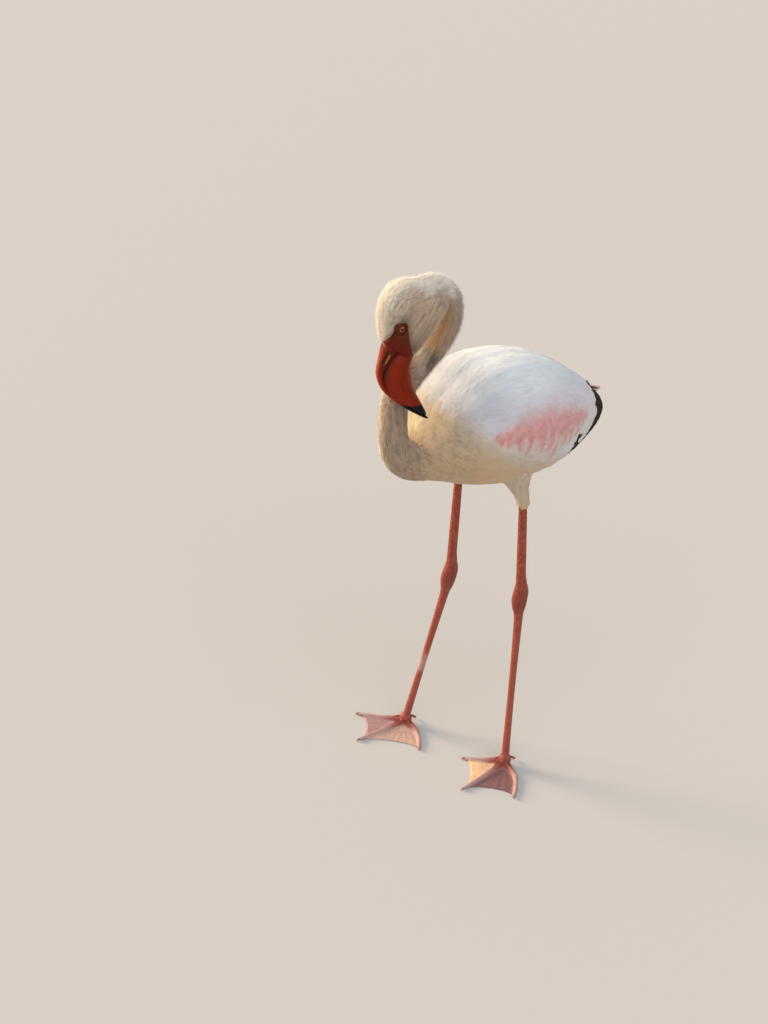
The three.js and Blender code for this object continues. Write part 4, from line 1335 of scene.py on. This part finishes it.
# ---------------------------------------------------------------- claws
# Short blunt nails of horn that grow from the ends of the three front toes. They are cast over
# merged copies of the solids and smoothed.
#
# Dull horn, grey-brown with paler streaks.
claw_horn, tree = new_material("claw_keratin")
place = add(tree, "ShaderNodeTexCoord").outputs["Object"]
grain = add(tree, "ShaderNodeTexNoise", {"Vector": place, "Scale": 1 / (1.4 * MM), "Detail": 2.0})
colour = add(tree, "ShaderNodeMix", {0: grain, 6: hexed("#6a4a3e"), 7: hexed("#9a7463")},
             data_type="RGBA")
shader = add(tree, "ShaderNodeBsdfPrincipled", {"Base Color": colour, "Roughness": 0.45})
add(tree, "ShaderNodeOutputMaterial", {"Surface": shader})

claw_names = [f"claw_{toe}_{side}" for side in SIDES for toe in ("inner", "middle", "outer")]
claws = show("claws", ironed(recast(joined(claw_names), 0.35), 12))
smooth(claws.data).materials.clear()
claws.data.materials.append(claw_horn)
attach(claws, "root")
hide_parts(*claw_names)

# ---------------------------------------------------------------- the skin's looks
# The closed skin made above shows between the feathers, and bare on the face and the legs, where
# small plates fit together like a net and give way to thin wrinkled webs. It takes the materials
# of the plumage, the face and the legs.
#
# Scaled leg skin: dull and a little soft, coral-red, darker at the joints, paler in the webs, with painted
# warm sunlight on the inner webs and painted shade on the outer ones.
scaled, tree = new_material("scaled_leg_skin")
tints = add(tree, "ShaderNodeAttribute", attribute_name="tints")
rgb = add(tree, "ShaderNodeSeparateColor", {0: tints.outputs["Color"]})
web_shade = add(tree, "ShaderNodeAttribute", attribute_name="web_shade").outputs["Fac"]
place = add(tree, "ShaderNodeTexCoord").outputs["Object"]
plates = add(tree, "ShaderNodeTexVoronoi", {"Vector": place, "Scale": 1 / (2.1 * MM)},
             feature="DISTANCE_TO_EDGE")
plate = add(tree, "ShaderNodeMapRange", {0: plates, 1: 0.0, 2: 0.22})
seams = add(tree, "ShaderNodeMath", {0: 1.0, 1: plate}, operation="SUBTRACT")
seams = add(tree, "ShaderNodeMath", {0: seams, 1: 0.35}, operation="MULTIPLY")
own = add(tree, "ShaderNodeTexVoronoi", {"Vector": place, "Scale": 1 / (2.1 * MM)})
own = add(tree, "ShaderNodeSeparateColor", {0: own.outputs["Color"]})
own = add(tree, "ShaderNodeMath", {0: own, 1: 0.35}, operation="MULTIPLY")
broad = add(tree, "ShaderNodeTexNoise", {"Vector": place, "Scale": 1 / (16 * MM), "Detail": 4.0})
creases = add(tree, "ShaderNodeTexNoise", {"Vector": place, "Scale": 1 / (3.8 * MM), "Detail": 5.0})
height = add(tree, "ShaderNodeSeparateXYZ", {0: place}).outputs[2]
low = add(tree, "ShaderNodeMapRange", {0: height, 1: 240 * MM, 2: 80 * MM, 4: 0.5})
dusty = add(tree, "ShaderNodeMath", {0: tints.outputs["Alpha"], 1: 0.55}, operation="MULTIPLY")
membrane = hexed("#a98880")
# painted sunlight tans the inner webs, painted shade darkens the outer ones
for factor, tone in ((creases, "#ccaaa0"), (rgb.outputs["Blue"], "#f6cb92"), (web_shade, "#6d4747")):
    membrane = add(tree, "ShaderNodeMix", {0: factor, 6: membrane, 7: hexed(tone)},
                   data_type="RGBA")
colour = hexed("#782a16")
for factor, tone in ((broad, hexed("#933d25")), (own, hexed("#c07a5e")), (low, hexed("#a2564a")),
                     (rgb.outputs["Green"], hexed("#75332a")), (rgb.outputs["Red"], membrane),
                     (seams, hexed("#6e2a22")), (dusty, hexed("#bfa392"))):
    colour = add(tree, "ShaderNodeMix", {0: factor, 6: colour, 7: tone}, data_type="RGBA")
relief = add(tree, "ShaderNodeMath", {0: plate, 1: creases}, operation="ADD")
bump = add(tree, "ShaderNodeBump", {"Height": relief, "Strength": 0.5, "Distance": 0.3 * MM})
shader = add(tree, "ShaderNodeBsdfPrincipled", {
    "Base Color": colour, "Roughness": 0.5, "Normal": bump, "Specular IOR Level": 0.25,
    "Subsurface Weight": 0.1, "Subsurface Radius": (1.0, 0.3, 0.2), "Subsurface Scale": 3 * MM,
})
add(tree, "ShaderNodeOutputMaterial", {"Surface": shader})

skin = show("skin", smooth(skin_mesh))
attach(skin, "root")
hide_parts(*FLESH)

# What the materials read off the skin: the plumage's markings, and how far each place lies in a
# web, a joint, the painted sunlight of an inner web, the painted shade of an outer one, the right
# tarsus's dusty stretch, or by the bill.
marks = markings(ground)
marks[:, :3] = blushed(marks[:, :3], ground)
joint = np.zeros(len(ground))
for hub, ankle in zip(HUBS, ANKLES):
    for middle, strength, size in ((ankle, 1, 13), (hub, 0.8, 12)):
        off = np.linalg.norm(ground - np.array(middle), axis=1) / MM
        joint = np.maximum(joint, strength * np.exp(-(off / size) ** 2))

limb_at = nearest_kind({f"{limb}_{side}": limb for side in SIDES for limb in LIMBS})
on_foot = (ground_group == LEG) & (g_up < 14)
limbs = limb_at(ground[on_foot])
on_left = ground[on_foot, 0] > HOME.x
web, web_sunlight, web_shade = np.zeros((3, len(ground)))
web[on_foot] = np.char.startswith(limbs, "web")
# painted sunlight on the inner webs and painted shade on the outer ones, strongest on the left foot
web_sunlight[on_foot] = (limbs == "web_inner") * np.where(on_left, 1.0, 0.35)
web_shade[on_foot] = (limbs == "web_outer") * np.where(on_left, 1.0, 0.3)
web = spread(web, ground_pairs, len(ground), 3)
web_sunlight = spread(web_sunlight, ground_pairs, len(ground), 6) * (0.4 + 0.5 * patches(ground, 30, 11))
web_shade = 0.8 * spread(web_shade, ground_pairs, len(ground), 8)
far = np.minimum(*[np.hypot(ground[:, 0] - hub.x, ground[:, 1] - hub.y) / MM for hub in HUBS])
web = np.maximum(web, 0.85 * rise(far, 9, 34) * on_foot)
dusty = rise(g_up, 74, 84) * (1 - rise(g_up, 94, 112)) * (g_left < 0)
dusty = dusty * (0.7 + 0.3 * patches(ground, 12, 13))
tints = np.stack([web, np.clip(joint, 0, 1), web_sunlight, np.clip(dusty, 0, 1)], -1)
store(skin_mesh, "marks", "FLOAT_COLOR", "POINT", marks)
store(skin_mesh, "tints", "FLOAT_COLOR", "POINT", tints)
store(skin_mesh, "web_shade", "FLOAT", "POINT", web_shade)
store(skin_mesh, "towards_bill", "FLOAT", "POINT", rise(g_fore, 14, 28))

skin_mesh.materials.clear()
for material in (plumage, lid_skin, scaled):
    skin_mesh.materials.append(material)
bare_faces = ground_face[tris].mean(1) > 0.5
leg_faces = (ground_group[tris] == LEG).all(1)
material_of = np.where(leg_faces, 2, np.where(bare_faces, 1, 0))
skin_mesh.polygons.foreach_set("material_index", material_of)
uv = skin_mesh.uv_layers.new(name="OFBake")
uv.data.foreach_set("uv", mapped(np.ones(len(tris), bool)).ravel())
